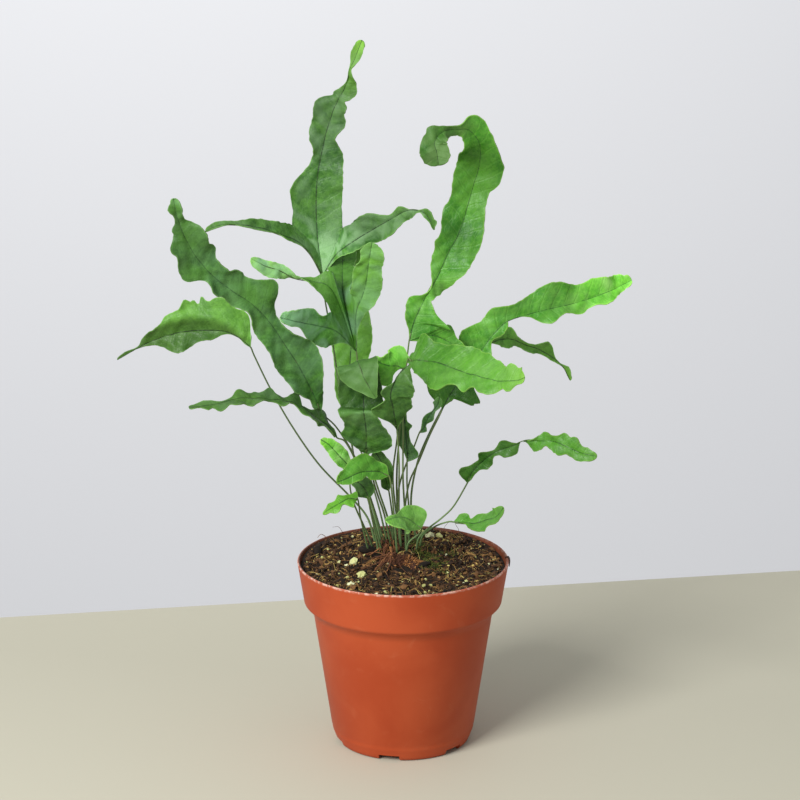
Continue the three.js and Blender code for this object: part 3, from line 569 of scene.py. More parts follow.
TALL_STRAP = Frond(
    "frond_tall_strap", Leaf.DEEP,
    stipe=((-8, 25, 94), (-12, 26, 112), (-17, 31, 128), (-23, 40, 143), (-26, 46, 152)),
    lobes=(
        Lobe(
            fold=6, ruffle=Ruffle(1.4, 26, 8),
            tone=Tone(
                1.2, young=0.2, bloom=0.3,
                along=((0, 0.8, 1), (1.5, 0.8, 1), (3, 1.1, 1), (5.5, 1, 1), (6.5, 0.7, 1)),
            ),
            stations=(
                (-26, 46, 152), (-27, 50, 163), (-27, 54, 178), (-26, 57, 192), (-26, 59, 207),
                (-26, 61, 220), (-25, 63, 233), (-23, 66, 245), (-22, 69, 252),
            ),
            widths=(
                (0, 0), (6, 6), (8.6, 9.6), (9.7, 9.7), (11, 9.7), (11, 9.5), (8, 7.5), (4, 4), (0, 0),
            ),
        ),
    ),
)
FIVE_LOBED = Frond(
    "frond_five_lobed", Leaf.BLUISH, main=2,
    seams=(((-35, 8, 219),), ((-34.5, 15, 237),), ((-25, 12, 232.5),)),
    stipe=(
        (-4, 20, 95), (-8, 12, 113), (-12, 8, 127), (-17, 7, 145), (-20, 8, 165), (-22, 10, 185),
        (-23, 12, 198),
    ),
    lobes=(
        Lobe(
            fold=4, ruffle=Ruffle(0.9, 19, 0), join=1,
            tone=Tone(
                1.25, bloom=2, tip=0.1,
                along=((0, 1, 1), (3.1, 1, 1), (3.6, 1.5, 2), (4, 2, 2.6), (5, 2.2, 3)),
            ),
            stations=(
                (-23, 12, 198), (-32, 6, 209.5), (-40, 2, 213.5), (-48.5, -3, 216.5), (-55.5, -6, 219),
                (-59.5, -8, 220.5),
            ),
            left=(
                (0, 0), (0.52, 1.8), (0.92, 7.2), (2.05, 9.4), (2.48, 8.7), (2.73, 6.9), (3, 3.8),
                (3.23, 2.5), (3.63, 3), (4.04, 2.6), (5, 0),
            ),
            right=(
                (1, 6.9), (1.52, 6.9), (2.36, 5.9), (2.55, 7.6), (2.98, 7.3), (3.6, 5.6), (4.3, 3.8),
                (5, 0),
            ),
        ),
        Lobe(
            face=TO_FRONT_UP, fold=10, ruffle=Ruffle(0.5, 20, 0), join=1,
            tone=Tone(
                1.05, young=0.25, bloom=1.2,
                along=(
                    (0, 1, 1), (0.8, 0.85, 0.1), (2.4, 0.9, 0.1), (3, 1.15, 1), (3.6, 1.45, 2),
                    (6, 1.6, 2.2),
                ),
            ),
            stations=(
                (-23, 12, 198), (-34, 16, 227), (-44, 18, 232), (-53, 16, 234.5), (-60, 13, 238.5),
                (-68, 10, 242), (-74, 8, 246),
            ),
            turns=(0, 0, 10, 80, 150, 165, 170),
            left=((1, 2.9), (1.62, 4.6), (2.3, 3.2), (3.03, 2.4), (4.06, 3.5), (4.76, 3.3), (6, 0)),
            right=(
                (1, 4.8), (1.28, 4.8), (1.7, 3.4), (2.46, 2), (3.21, 3.4), (3.93, 3.8), (4.34, 4.6),
                (5.09, 3.6), (6, 0),
            ),
        ),
        Lobe(
            fold=8, ruffle=Ruffle(1, 18, 4), join=1,
            tone=Tone(
                0.95, young=0.15, bloom=1.8, tip=0.1,
                # painted light: brighter towards the tip, which lies in the trilobed frond's shade
                along=((0, 1, 1), (1.4, 1, 1), (2, 0.85, 0.1), (3, 1.1, 0), (5, 1.5, 0)),
            ),
            stations=(
                (-23, 12, 198), (-29, 20, 221.5), (-30, 32, 230), (-30, 45, 236.5), (-29, 55, 243),
                (-28, 58, 248),
            ),
            widths=((0, 0), (7, 6.5), (8, 6.5), (7, 6.5), (4, 4), (0, 0)),
        ),
        Lobe(
            fold=6, ruffle=Ruffle(0.8, 17, 2), join=1,
            tone=Tone(0.95, young=0.3, bloom=1),
            stations=(
                (-23, 12, 198), (-23, 9, 218), (-20, 7, 227), (-18, 5, 235), (-17, 3, 243), (-16, 1, 250),
                (-15, 0, 256),
            ),
            left=(
                (1, 7.4), (1.6, 6), (2.17, 6.2), (2.7, 6.5), (3.68, 7.1), (4.66, 4.3), (5.08, 5),
                (5.36, 4.5), (5.71, 2.7), (6, 0),
            ),
            right=(
                (0, 0), (0.29, 0.5), (0.52, 1.1), (0.97, 4), (1.55, 6.1), (2.51, 8.1), (3.51, 7.6),
                (3.91, 6.8), (4.71, 7.3), (5.18, 6.8), (5.56, 5.4), (5.77, 3.2), (6, 0),
            ),
        ),
    ),
)
WAVY_LEFT = Frond(
    "frond_wavy_left", Leaf.BLUISH,
    stipe=(
        (-9, 13, 96), (-13, 5, 114), (-17, -3, 130), (-21, -9, 144), (-26, -12, 156), (-33, -15, 168),
        (-39.5, -17, 175),
    ),
    lobes=(
        Lobe(
            fold=9, ruffle=Ruffle(2.2, 23, 6),
            tone=Tone(
                0.76, young=0.04, bloom=0.6,
                along=(
                    (0, 0.95, 1.3), (3, 1, 1), (7, 1, 1), (8.6, 0.76, 0.8), (9.8, 0.78, 0.9),
                    (11, 1.1, 2.5),
                ),
            ),
            stations=(
                (-39.5, -17, 175), (-44, -20, 187), (-50, -24, 200.5), (-56.5, -27, 212),
                (-63.5, -30, 224), (-71.5, -34, 234), (-80.5, -38, 241.5), (-89.5, -42, 250),
                (-97, -45, 260), (-102, -48, 270.5), (-105, -50, 280), (-106.5, -52, 289.5),
            ),
            left=(
                (0, 0), (0.19, 2.1), (0.37, 2.9), (0.64, 2.6), (1.07, 5.2), (1.27, 7.1), (1.47, 7.9),
                (2.47, 10), (3.1, 8.3), (3.98, 9), (4.28, 8.1), (4.93, 4.4), (5.66, 6.2), (6.25, 5.2),
                (6.56, 6.4), (6.93, 4.2), (7.04, 4.3), (7.23, 6), (7.38, 9.4), (7.99, 10.5), (8.38, 7.8),
                (8.91, 7.9), (9.03, 5.9), (9.46, 4.2), (9.82, 1.7), (10.07, 1.5), (10.29, 2.1),
                (10.42, 3.5), (10.76, 2), (11, 0),
            ),
            right=(
                (0, 0), (0.6, 3.8), (1.25, 7.1), (1.95, 11.7), (2.15, 12.3), (4.46, 8.5), (4.73, 13.2),
                (5.15, 15.6), (5.35, 12.6), (5.85, 9.4), (6.31, 10), (6.48, 9.2), (6.66, 7.5),
                (6.93, 7.1), (7.59, 8), (7.79, 9.9), (8.26, 9), (8.79, 10.1), (9.24, 8.8), (9.76, 3.3),
                (10.02, 2.8), (10.57, 3.3), (10.77, 2.7), (11, 0),
            ),
        ),
    ),
)
DROOPING_LEFT = Frond(
    "frond_drooping_left", Leaf.DEEP,
    stipe=(
        (-14, 22, 95), (-18, 21, 109), (-27, 22, 120), (-42, 26, 135), (-55, 30, 153), (-66, 33, 172),
        (-74, 34, 189), (-76, 34, 194),
    ),
    lobes=(
        Lobe(
            # the ridge also darkens the rib's side of the blade with painted shade
            fold=12, ruffle=Ruffle(1.2, 17, 0), ridge=(2.6, 7.5),
            tone=Tone(1.12, young=0.14, tip=0, bloom=0.15, along=((0, 1, 1), (4, 1, 1), (6, 0.85, 1))),
            stations=(
                (-76, 34, 194), (-82, 35, 199), (-90, 36, 202), (-101, 37, 202), (-110, 38, 201),
                (-118, 38, 199), (-126, 38, 196), (-134, 37, 192), (-143, 36, 187),
            ),
            turns=(0, 2, 0, -4, -6, -6, -4, 0, 0),
            left=(
                (0, 0), (0.25, 0.6), (1.03, 0.3), (1.88, 1.6), (2.38, 4.5), (2.95, 5.3), (3.96, 9.3),
                (4.38, 10), (4.68, 9.8), (5.88, 2.6), (6.96, 0.1), (7.69, 0.2), (8, 0),
            ),
            right=(
                (0, 0), (0.39, 3.8), (0.72, 6.5), (0.95, 10.1), (1.18, 12.6), (1.42, 13.2), (1.63, 12.7),
                (2.23, 17.1), (2.38, 16.6), (2.52, 15.1), (2.67, 15.1), (2.92, 16.9), (2.98, 14.3),
                (3.23, 16), (3.36, 15.1), (3.53, 16.6), (3.68, 16), (3.75, 14.5), (4.16, 11.5),
                (4.63, 10.4), (5.21, 6.6), (6.39, 3.2), (6.69, 1.2), (7.56, 1.3), (8, 0),
            ),
        ),
    ),
)
LOW_LEFT = Frond(
    "frond_low_left", Leaf.DEEP,
    stipe=(
        (-10.5, 8, 95), (-14.5, -2, 115), (-18.5, -9, 133), (-23, -16, 150), (-28, -19, 161),
        (-32, -20, 163.5),
    ),
    lobes=(
        Lobe(
            face=(0, -0.35, 0.94), fold=10, ruffle=Ruffle(1.1, 15, 0),
            tone=Tone(0.62, young=0.12),
            stations=(
                (-32, -20, 163.5), (-38, -23, 171.5), (-44, -26, 177), (-49.5, -29, 182.5),
                (-55.5, -32, 185.5), (-64, -35, 187.5), (-72.5, -38, 189), (-81, -41, 189),
                (-91, -43, 187), (-102, -44, 186),
            ),
            left=(
                (0, 0), (0.39, 2.5), (1.2, 4), (1.8, 7), (2.4, 8.6), (2.9, 7.4), (3.4, 3.6), (3.9, 3),
                (4.3, 5), (4.66, 2.8), (4.91, 2.2), (5.28, 3.4), (5.63, 5.5), (5.88, 6.3), (6.14, 7.6),
                (6.48, 5.2), (6.81, 7.2), (6.99, 7.4), (7.23, 5.8), (7.48, 7), (7.69, 6.6), (7.83, 4.4),
                (7.97, 2.4), (8.19, 3.8), (8.52, 1.8), (8.69, 3), (8.91, 2.4), (9, 0),
            ),
            right=(
                (0, 0), (0.32, 2.3), (0.65, 3.1), (0.85, 6.8), (2.15, 2.3), (2.58, 2.1), (2.87, 3.2),
                (2.93, 6.3), (3.03, 7.9), (3.23, 7.7), (3.68, 4.7), (4.08, 3.4), (4.41, 3.5), (4.66, 4.5),
                (4.8, 6.4), (5.33, 4.1), (5.63, 4.8), (5.96, 4), (6.28, 4.2), (6.53, 5.1), (6.78, 4.1),
                (6.99, 2.2), (7.21, 1.4), (8.51, 2.6), (8.76, 1.9), (9, 0),
            ),
        ),
    ),
)
FRONT_FOLDED = Frond(
    "frond_front_folded", Leaf.DEEP,
    stipe=((-6, 9, 96), (-9, 1, 116), (-13, -5, 131), (-17, -9, 147), (-18, -10, 152)),
    lobes=(
        Lobe(
            across=TO_RIGHT, fold=2, ruffle=Ruffle(0.6, 24, 0),
            tone=Tone(
                0.8, bloom=0.9,
                # painted shadow: darker from station 3.9 to 4.6, under the folded-over flap
                along=(
                    (0, 1, 1), (2.8, 1, 1), (3.3, 1.1, 1), (3.9, 0.6, 0), (4.6, 0.62, 0), (5.3, 0.8, 1),
                    (6, 0.78, 1),
                ),
            ),
            stations=(
                (-18, -10, 152), (-18, -15, 159), (-18, -21, 169), (-19, -27, 178.5), (-19, -16, 177.5),
                (-20, -15, 190), (-22, -19, 201), (-21, -25.5, 201.5), (-18, -29, 195), (-13, -30, 186.5),
            ),
            turns=(0, 0, 0, 0, 3, 8, 15, 15, 10, 0),
            left=(
                (0, 0), (0.24, 2.1), (0.92, 5.9), (1.3, 9.3), (1.55, 12.2), (1.92, 10.7), (2.43, 10.3),
                (3.3, 12.2), (3.6, 11), (4.18, 11.4), (4.58, 12.1), (5.3, 11.2), (6, 10.4), (7, 11),
                (7.5, 10.8), (8, 8.2), (8.5, 4.6), (8.85, 1.8), (9, 0),
            ),
            right=(
                (0, 0), (0.35, 5.8), (0.59, 10.7), (1.02, 12.6), (2.23, 8), (3.28, 6), (3.78, 8.8),
                (4.18, 9.4), (5.41, 9), (6, 9.2), (7, 9.4), (7.5, 8.4), (8, 6.8), (8.5, 4), (8.85, 1.4),
                (9, 0),
            ),
        ),
    ),
)
SMALL_CURLED = Frond(
    "frond_small_curled", Leaf.FRESH,
    stipe=(
        (-1.5, 16.5, 96), (-3, 7, 122), (-3, 1, 141), (-2, -1, 157), (-1, -2, 175), (0, -3, 187),
        (1, -4, 193),
    ),
    lobes=(
        Lobe(
            fold=-16, ruffle=Ruffle(0.8, 14, 0),
            tone=Tone(1.3, young=0.1, bloom=1.4),
            stations=((1, -4, 193), (-3, -7, 196), (-7, -10, 197), (-11, -12, 199), (-14, -13, 202)),
            left=(
                (0, 0), (0.5, 0.6), (0.8, 3), (1.2, 8), (1.8, 10.5), (2.4, 10), (3, 8), (3.5, 5), (4, 0),
            ),
            right=(
                (0, 0), (0.12, 4.6), (0.5, 7.6), (0.95, 10.4), (1.3, 8.8), (2, 7), (3, 4), (3.6, 1.8),
                (4, 0),
            ),
        ),
    ),
)
DARK_DIAMOND = Frond(
    "frond_dark_diamond", Leaf.DEEP,
    stipe=((-1, 11, 96), (-2, 1, 117), (-2, -8, 133), (-2, -15, 150.5), (-3, -20, 167.5)),
    lobes=(
        Lobe(
            fold=6, ruffle=Ruffle(0.9, 16, 0),
            tone=Tone(0.6, bloom=0.3),
            stations=(
                (-3, -20, 167.5), (-4, -27, 175.5), (-5, -31, 183), (-6, -33, 189), (-4, -34, 196.3),
                (-1, -34, 201), (3, -34, 204.5),
            ),
            left=(
                (0, 0), (0.6, 1.8), (1.07, 4.3), (1.35, 7.5), (1.8, 10.4), (2.45, 7.3), (2.58, 4),
                (2.98, 4.1), (3.18, 4.8), (3.71, 1.1), (3.99, 0), (5.29, 0), (6, 0),
            ),
            right=(
                (0, 0), (0.57, 2.1), (1.12, 5.5), (1.45, 6.8), (1.55, 8.4), (1.98, 9.1), (4.38, 9.8),
                (4.84, 8.3), (5.27, 6.1), (5.59, 4.1), (5.76, 2.1), (6, 0),
            ),
        ),
    ),
)
HANGING_NARROW = Frond(
    "frond_hanging_narrow", Leaf.DEEP,
    stipe=((2.8, 15, 95), (3, 7, 116), (2, 2, 132), (2, -1, 145)),
    lobes=(
        Lobe(
            fold=10, ruffle=Ruffle(0.8, 13, 0),
            tone=Tone(0.8, bloom=1.3),
            stations=((2, -1, 145), (2, 0, 150), (1.5, 1, 157), (1, 2, 163), (0.5, 3, 170), (0, 3, 178)),
            left=((0, 0), (0.44, 0.6), (1.1, 2), (1.45, 3.6), (1.9, 4.1), (3.38, 3.9), (5, 0)),
            right=(
                (0, 0), (0.25, 2.9), (0.57, 5.2), (1.68, 2.3), (2.2, 1.6), (2.61, 2), (2.98, 3.4),
                (3.24, 1.6), (3.74, 1.1), (5, 0),
            ),
        ),
    ),
)
TALL_HOOKED = Frond(
    "frond_tall_hooked", Leaf.FRESH,
    seams=(((21, 13, 211),),),
    stipe=(
        (-1, 22, 95), (-4, 15, 118), (-5, 12, 135), (-3, 11, 153), (-1, 10, 174), (2, 10, 196),
        (3, 10, 204),
    ),
    lobes=(
        Lobe(
            fold=10, ruffle=Ruffle(1.1, 24, 0), join=1,
            tone=Tone(
                0.78, tip=0, bloom=0.72,
                # painted sheen near station 4.6, painted light near 11.6 to 12.3 where the blade turns from
                # the lamp, painted shade on the hanging flap from 13 on
                along=(
                    (0, 1, 1), (4.6, 1.1, 1.8), (6, 0.86, 0.6), (8, 0.8, 1.3), (9.5, 0.9, 0.8),
                    (10.4, 0.68, 0.3), (11, 0.85, 0.4), (11.6, 1.5, 1), (12.3, 1.3, 2), (13, 0.85, 4),
                    (14, 0.52, 5), (17, 0.46, 5),
                ),
            ),
            stations=(
                (3, 10, 204), (5, 12, 212), (8, 13, 219), (11, 14, 225), (14, 15, 230), (18, 17, 237),
                (22, 19, 246), (27, 20, 255), (31, 22, 267), (34, 23, 278), (37, 22, 289), (37, 16, 301),
                (32, 9, 309), (26, 3, 311), (19, -3, 311), (15, -7, 307), (16, -9, 302), (17, -10, 296),
            ),
            turns=(0, 0, 0, 20, 42, 10, 0, 0, 0, 0, 0, 0, -20, -30, -10, 0, 0, 0),
            left=(
                (0, 0), (0.75, 2.1), (1.09, 4.3), (1.45, 5.6), (2.45, 7.2), (2.75, 6), (2.95, 3.2),
                (3.35, 1.1), (3.82, 0.3), (5.1, 5.5), (5.6, 6.8), (5.92, 7), (6.18, 8.3), (6.56, 8.2),
                (7.93, 10.9), (8.25, 9.6), (8.6, 9.6), (9.3, 11), (10.3, 11), (10.8, 10.6), (11.2, 9.4),
                (11.64, 7), (12.36, 4.6), (13, 3.4), (14, 4), (14.6, 5.4), (15, 6.4), (15.5, 5.6),
                (16, 6.2), (16.6, 5.2), (17, 0),
            ),
            right=(
                (1, 14.4), (1.92, 14.4), (2, 11.9), (2.2, 9), (2.6, 5.4), (2.92, 3.4), (3.27, 4.1),
                (3.87, 6.9), (5.1, 9.9), (5.33, 11.4), (5.85, 12.7), (6.51, 12.8), (6.91, 12.5),
                (8.75, 8.6), (9.1, 9.2), (9.31, 11.1), (9.6, 12.1), (9.86, 12.3), (10.21, 12.1),
                (10.5, 10.1), (11.08, 7.4), (11.33, 7.3), (12.19, 8.6), (12.5, 7), (13, 2.8), (13.5, 2),
                (14, 3), (14.5, 6.4), (14.8, 5.6), (15.3, 7.2), (15.8, 8.2), (16.4, 7.2), (16.8, 5),
                (17, 0),
            ),
        ),
        Lobe(
            fold=6, ruffle=Ruffle(0.5, 18, 0), join=1,
            tone=Tone(0.8, bloom=1.2),
            stations=((3, 10, 204), (14, 13, 206), (23, 14, 202), (29, 14, 197), (33, 14, 192)),
            widths=((0, 0), (4.4, 4), (5.4, 4), (3.2, 2.8), (0, 0)),
            left=((1, 7.3), (1.43, 7.3), (1.6, 7.2), (2.2, 3.8), (4, 0)),
        ),
    ),
)
BIG_RIGHT = Frond(
    "frond_big_right", Leaf.FRESH,
    stipe=((3.5, 20, 95), (1, 14, 113), (3, 11, 130), (8, 11, 142), (13, 13, 154), (18, 15, 164)),
    lobes=(
        Lobe(
            fold=10, ruffle=Ruffle(1.7, 22, 9),
            tone=Tone(
                0.85, bloom=0.7, tip=0.15,
                along=(
                    (0, 0.5, 0.4), (2.2, 0.55, 0.4), (3, 1, 1), (8, 1, 1), (9, 1.1, 1.4), (10, 1.6, 3),
                    (12, 2, 4),
                ),
            ),
            stations=(
                (18, 15, 164), (21, 17, 170), (26, 19, 178), (33, 21, 188), (39, 22, 196), (45, 23, 204),
                (51.5, 24, 210), (61.5, 26, 213), (72, 29, 215), (83, 33, 216.5), (94, 38, 218.5),
                (104, 43, 221), (109.5, 46, 223), (114.5, 48, 225),
            ),
            left=(
                (0, 0), (0.8, 3.3), (0.97, 8.1), (1.29, 12.1), (1.98, 14), (2.68, 13), (3.52, 10.7),
                (3.82, 12.9), (4.22, 13.8), (4.45, 13), (4.95, 9.5), (5.3, 9.1), (5.66, 10), (5.81, 9.7),
                (6.3, 7), (6.55, 7.1), (7.26, 9.1), (8.26, 12.8), (8.51, 12.6), (9.61, 8.5), (9.86, 8.5),
                (10.08, 9.3), (10.38, 9), (10.88, 7.4), (12.52, 3.9), (13, 0),
            ),
            right=(
                (0, 0), (1, 0.9), (1.3, 2.3), (1.52, 4.1), (1.64, 11.6), (1.83, 12.8), (2, 14.8),
                (2.38, 8.1), (2.95, 6.8), (3.72, 6.1), (4.22, 4.7), (4.43, 2.5), (4.73, 1.6), (5.28, 3.7),
                (5.6, 3.4), (5.91, 2.1), (6.05, 0), (6.7, 0.2), (7.05, 1.3), (7.8, 7.1), (8.05, 7),
                (8.58, 4.1), (8.84, 4.1), (9.36, 6.3), (9.81, 4.5), (10.06, 4.1), (10.34, 5.3),
                (10.58, 5.5), (11.42, 3.5), (12.27, 2.4), (13, 0),
            ),
        ),
    ),
)
BRIGHT_RIGHT = Frond(
    "frond_bright_right", Leaf.FRESH,
    stipe=((1.5, 7, 96), (1, 1, 117), (0, -4, 137), (0, -5, 158), (0, -5, 180), (2, -6, 198)),
    lobes=(
        Lobe(
            face=(0, -0.8, 0.5), fold=3, ruffle=Ruffle(1, 17, 4),
            tone=Tone(
                0.64, young=0.14, bloom=0.6, tip=0.8,
                # brighter with more bloom towards the tip: partly painted sheen
                along=(
                    (0, 0.68, 3), (0.8, 0.84, 2), (1.6, 0.92, 1), (3.3, 0.95, 0.9), (4.4, 1.1, 1.6),
                    (6, 1.2, 2.2), (9, 1.2, 2),
                ),
            ),
            stations=(
                (2, -6, 198), (7, -11, 200), (14, -17, 201), (21, -24, 201), (28, -31, 200),
                (35, -38, 200), (42, -45, 200), (48, -51, 201), (54, -56, 203), (57, -59, 205),
            ),
            left=(
                (0, 0), (0.19, 3.7), (0.55, 5.4), (0.74, 10.4), (1.8, 10.1), (2.82, 11.1), (3.18, 11.6),
                (3.85, 13.7), (4.25, 13.6), (4.91, 11.9), (5.26, 12), (5.46, 10.8), (5.88, 10.4),
                (6.98, 7.2), (7.44, 8.6), (7.83, 6.6), (8.76, 3.7), (9, 0),
            ),
            right=(
                (0, 0), (0.39, 2.6), (0.74, 5), (1.62, 8.8), (3.27, 14.1), (3.53, 13.8), (3.75, 10),
                (4.18, 7.9), (4.51, 9.3), (4.83, 9.1), (4.98, 7.1), (5.28, 6.5), (5.61, 7.8), (5.99, 8.2),
                (6.34, 7.3), (6.84, 4.1), (7.44, 5.5), (7.69, 5.1), (7.81, 3.2), (8.24, 2.1), (9, 0),
            ),
        ),
    ),
)
NARROW_GREY = Frond(
    "frond_narrow_grey", Leaf.BLUISH,
    stipe=((0, 26, 94), (-3, 19, 112), (-2, 11, 128), (1, 7, 140), (5, 5, 150), (8, 4, 158.5)),
    lobes=(
        Lobe(
            fold=10, ruffle=Ruffle(0.5, 11, 0),
            tone=Tone(0.75),
            stations=(
                (8, 4, 158.5), (10.5, 4, 161.5), (12, 5, 165.5), (14.5, 6, 169), (17, 7, 172),
                (18, 7, 176),
            ),
            left=(
                (0, 0), (0.27, 0.5), (2.23, 2), (3.18, 0.3), (3.43, 0.6), (3.99, 2.5), (4.59, 2), (5, 0),
            ),
            right=(
                (0, 0), (0.59, 1.8), (0.83, 2.1), (1.12, 0.7), (1.45, 0.7), (1.82, 2.3), (3.33, 1.2),
                (4.31, 1.9), (5, 0),
            ),
        ),
    ),
)
LOW_RIGHT = Frond(
    "frond_low_right", Leaf.FRESH,
    stipe=((6.5, 8, 95), (8, 1, 105), (13, -4, 112), (19, -7, 118), (25, -9, 125), (31.5, -11, 137.5)),
    lobes=(
        Lobe(
            fold=12, ruffle=Ruffle(1, 13, 0),
            # painted shade: darker up to station 4.6, on the blade's folded inner part
            tone=Tone(0.6, along=((0, 0.55, 0.6), (4.6, 0.52, 0.6), (5.4, 0.95, 1), (10, 1, 1))),
            stations=(
                (31.5, -11, 137.5), (34, -13, 144), (39, -16, 150.5), (44.5, -20, 156), (52, -23, 160),
                (59.5, -27, 164), (66, -30, 165), (72.5, -34, 166), (78.5, -38, 164.5), (85, -41, 162.5),
                (92.5, -44, 161.5),
            ),
            turns=(0, 0, 0, 0, 0, 50, 0, 0, 0, 0, 0),
            left=(
                (0, 0), (0.39, 3.6), (0.72, 6.2), (0.95, 5.6), (1.12, 3.8), (1.53, 2.3), (1.83, 2),
                (2.33, 4.4), (2.65, 2.3), (3.02, 1.5), (3.3, 2.3), (3.5, 3.8), (4.58, 0), (5.51, 1.1),
                (6.63, 4.1), (6.86, 2.8), (7.08, 2.8), (7.48, 5.6), (8.11, 5.3), (8.34, 6.3), (8.97, 3.4),
                (9.41, 3.2), (9.67, 2.2), (10, 0),
            ),
            right=(
                (0, 0), (0.24, 0.8), (1.72, 3.3), (2.02, 4.8), (2.25, 4.5), (2.88, 1.7), (3.25, 2.4),
                (3.48, 3.8), (3.81, 4.8), (4.1, 4.6), (4.96, 0.2), (5.1, 2.8), (6.05, 4.4), (6.53, 2.5),
                (6.81, 3.9), (7.41, 5.4), (7.88, 5.2), (8.13, 3.7), (8.91, 4.3), (9.56, 3), (10, 0),
            ),
        ),
    ),
)
SMALL_RIGHT = Frond(
    "frond_small_right", Leaf.FRESH,
    stipe=((8.5, 14, 95), (10, 5, 105), (16, -2, 112), (22, -7, 116), (25, -10, 117)),
    lobes=(
        Lobe(
            face=(0, -0.6, 0.8), fold=6, ruffle=Ruffle(0.5, 12, 0),
            tone=Tone(0.6),
            stations=(
                (25, -10, 117), (30, -13, 117.5), (35, -16, 118.5), (41, -19, 121), (45, -22, 123.5),
                (49, -24, 129),
            ),
            left=(
                (0, 0), (0.24, 4), (0.55, 5.1), (1.05, 5.3), (1.4, 3.1), (2.31, 5), (3.03, 4), (3.21, 5),
                (4.51, 3.2), (5, 0),
            ),
            right=(
                (0, 0), (0.44, 0), (1.3, 1.3), (1.73, 3.6), (3.39, 5.9), (3.79, 4.3), (4.08, 3.9),
                (4.36, 2.4), (5, 0),
            ),
        ),
    ),
)
FRONT_OVAL = Frond(
    "frond_front_oval", Leaf.PALE,
    stipe=((1.5, 3, 96), (3, -3, 104), (8, -9, 110.5), (9, -13, 114.5)),
    lobes=(
        Lobe(
            face=(0, -0.75, 0.65), fold=6, ruffle=Ruffle(0.6, 15, 0),
            tone=Tone(1.05, young=0.08, bloom=0.3),
            stations=(
                (9, -13, 114.5), (5, -15, 118.5), (0.5, -18, 122), (-3, -22, 123.5), (-6, -25, 123.5),
                (-8.5, -27, 123.5),
            ),
            left=(
                (0, 0), (0.4, 2.4), (1, 4.8), (1.6, 7.8), (2.2, 9.4), (3, 8.6), (3.84, 6.8), (4.4, 4.4),
                (5, 0),
            ),
            right=(
                (0, 0), (0.12, 4.5), (0.3, 7), (0.8, 8.6), (1.3, 8.4), (1.88, 6.2), (2.5, 2.6),
                (3.2, 1.6), (4, 1.8), (5, 0),
            ),
        ),
    ),
)
LIGHT_LEFT = Frond(
    "frond_light_left", Leaf.FRESH,
    stipe=((-15, 14, 95), (-19, 4, 109), (-24, -7, 125), (-26, -12, 136), (-25, -13, 144)),
    lobes=(
        Lobe(
            fold=5, ruffle=Ruffle(0.6, 15, 0),
            tone=Tone(1.15, young=0.02, tip=0.5, bloom=3, along=((0, 0.8, 1), (3, 1.1, 1.2))),
            stations=(
                (-25, -13, 144), (-28, -14, 149), (-32, -16, 154), (-36, -17, 159), (-40, -18, 162),
            ),
            left=((0, 0), (0.62, 2.6), (2.71, 3), (3.46, 2.2), (4, 0)),
            right=(
                (0, 0), (0.5, 1), (0.93, 2.6), (1.5, 4.2), (2.06, 4.6), (2.63, 4.1), (3.51, 2.2), (4, 0),
            ),
        ),
    ),
)
BRIGHT_MIDDLE = Frond(
    "frond_bright_middle", Leaf.FRESH,
    stipe=((-3, 4, 96), (-4, -4, 113), (-5, -11, 127), (-6, -16, 139), (-7, -17, 143)),
    lobes=(
        Lobe(
            fold=8, ruffle=Ruffle(0.8, 13, 0),
            tone=Tone(0.7, young=0.03, bloom=0.2, tip=0.3),
            stations=(
                (-7, -17, 143), (-12, -19, 146), (-17, -22, 147), (-22, -25, 147), (-28, -28, 145),
                (-32, -30, 144),
            ),
            left=(
                (0, 0), (0.59, 3.4), (1.33, 4.3), (1.91, 4), (2.16, 2.4), (2.68, 3.6), (3.24, 3.7),
                (4.16, 2.7), (4.74, 1.2), (5, 0),
            ),
            right=((0, 0), (0.68, 4.3), (1.1, 4.8), (2.3, 9), (3.91, 4.4), (5, 0)),
        ),
    ),
)
SMALL_CLUSTER = Frond(
    "frond_small_cluster", Leaf.DEEP,
    stipe=((-4.8, 13.5, 96), (-5, 7, 111), (-6, 2, 122), (-7, -1, 130)),
    lobes=(
        Lobe(
            fold=8, ruffle=Ruffle(0.8, 12, 0),
            tone=Tone(0.6),
            stations=(
                (-7, -1, 130), (-8, -2, 134), (-9, -4, 140), (-10, -5, 145), (-12, -5, 149),
                (-14, -5, 152),
            ),
            widths=((0, 0), (2.9, 2.9), (2.6, 3.9), (5.4, 4.4), (3.9, 2.9), (0, 0)),
        ),
    ),
)
SMALL_DARK = Frond(
    "frond_small_dark", Leaf.DEEP,
    stipe=((-12, 3.5, 95), (-14, -4, 110), (-16, -10, 122.5), (-17, -13, 130)),
    lobes=(
        Lobe(
            fold=8, ruffle=Ruffle(0.5, 12, 0),
            tone=Tone(0.7),
            stations=(
                (-17, -13, 130), (-18, -14, 133.8), (-20, -14.5, 137.3), (-22.5, -15, 139.5),
                (-25, -15, 141),
            ),
            widths=((0, 0), (4.4, 4.9), (4.4, 4.9), (3, 3), (0, 0)),
        ),
    ),
)
SMALL_LEFT = Frond(
    "frond_small_left", Leaf.FRESH,
    stipe=((-17, 6, 95), (-19, -4, 108), (-21, -13, 121), (-22, -18, 131)),
    lobes=(
        Lobe(
            face=TO_FRONT_UP, fold=8, ruffle=Ruffle(0.8, 9, 0),
            tone=Tone(0.85, young=0.3, bloom=0.2, tip=0.3),
            stations=(
                (-22, -18, 131), (-26, -20, 132.5), (-30, -23, 131.5), (-35, -26, 129.5), (-39, -28, 127),
            ),
            left=((0, 0), (1.58, 4.5), (1.83, 2.3), (2.89, 4.1), (3.36, 1.6), (4, 0)),
            right=(
                (0, 0), (0.19, 3.2), (0.8, 2.3), (1.65, 2.9), (2.01, 3.9), (2.35, 2.6), (3.06, 2.6),
                (3.43, 1.2), (4, 0),
            ),
        ),
    ),
)
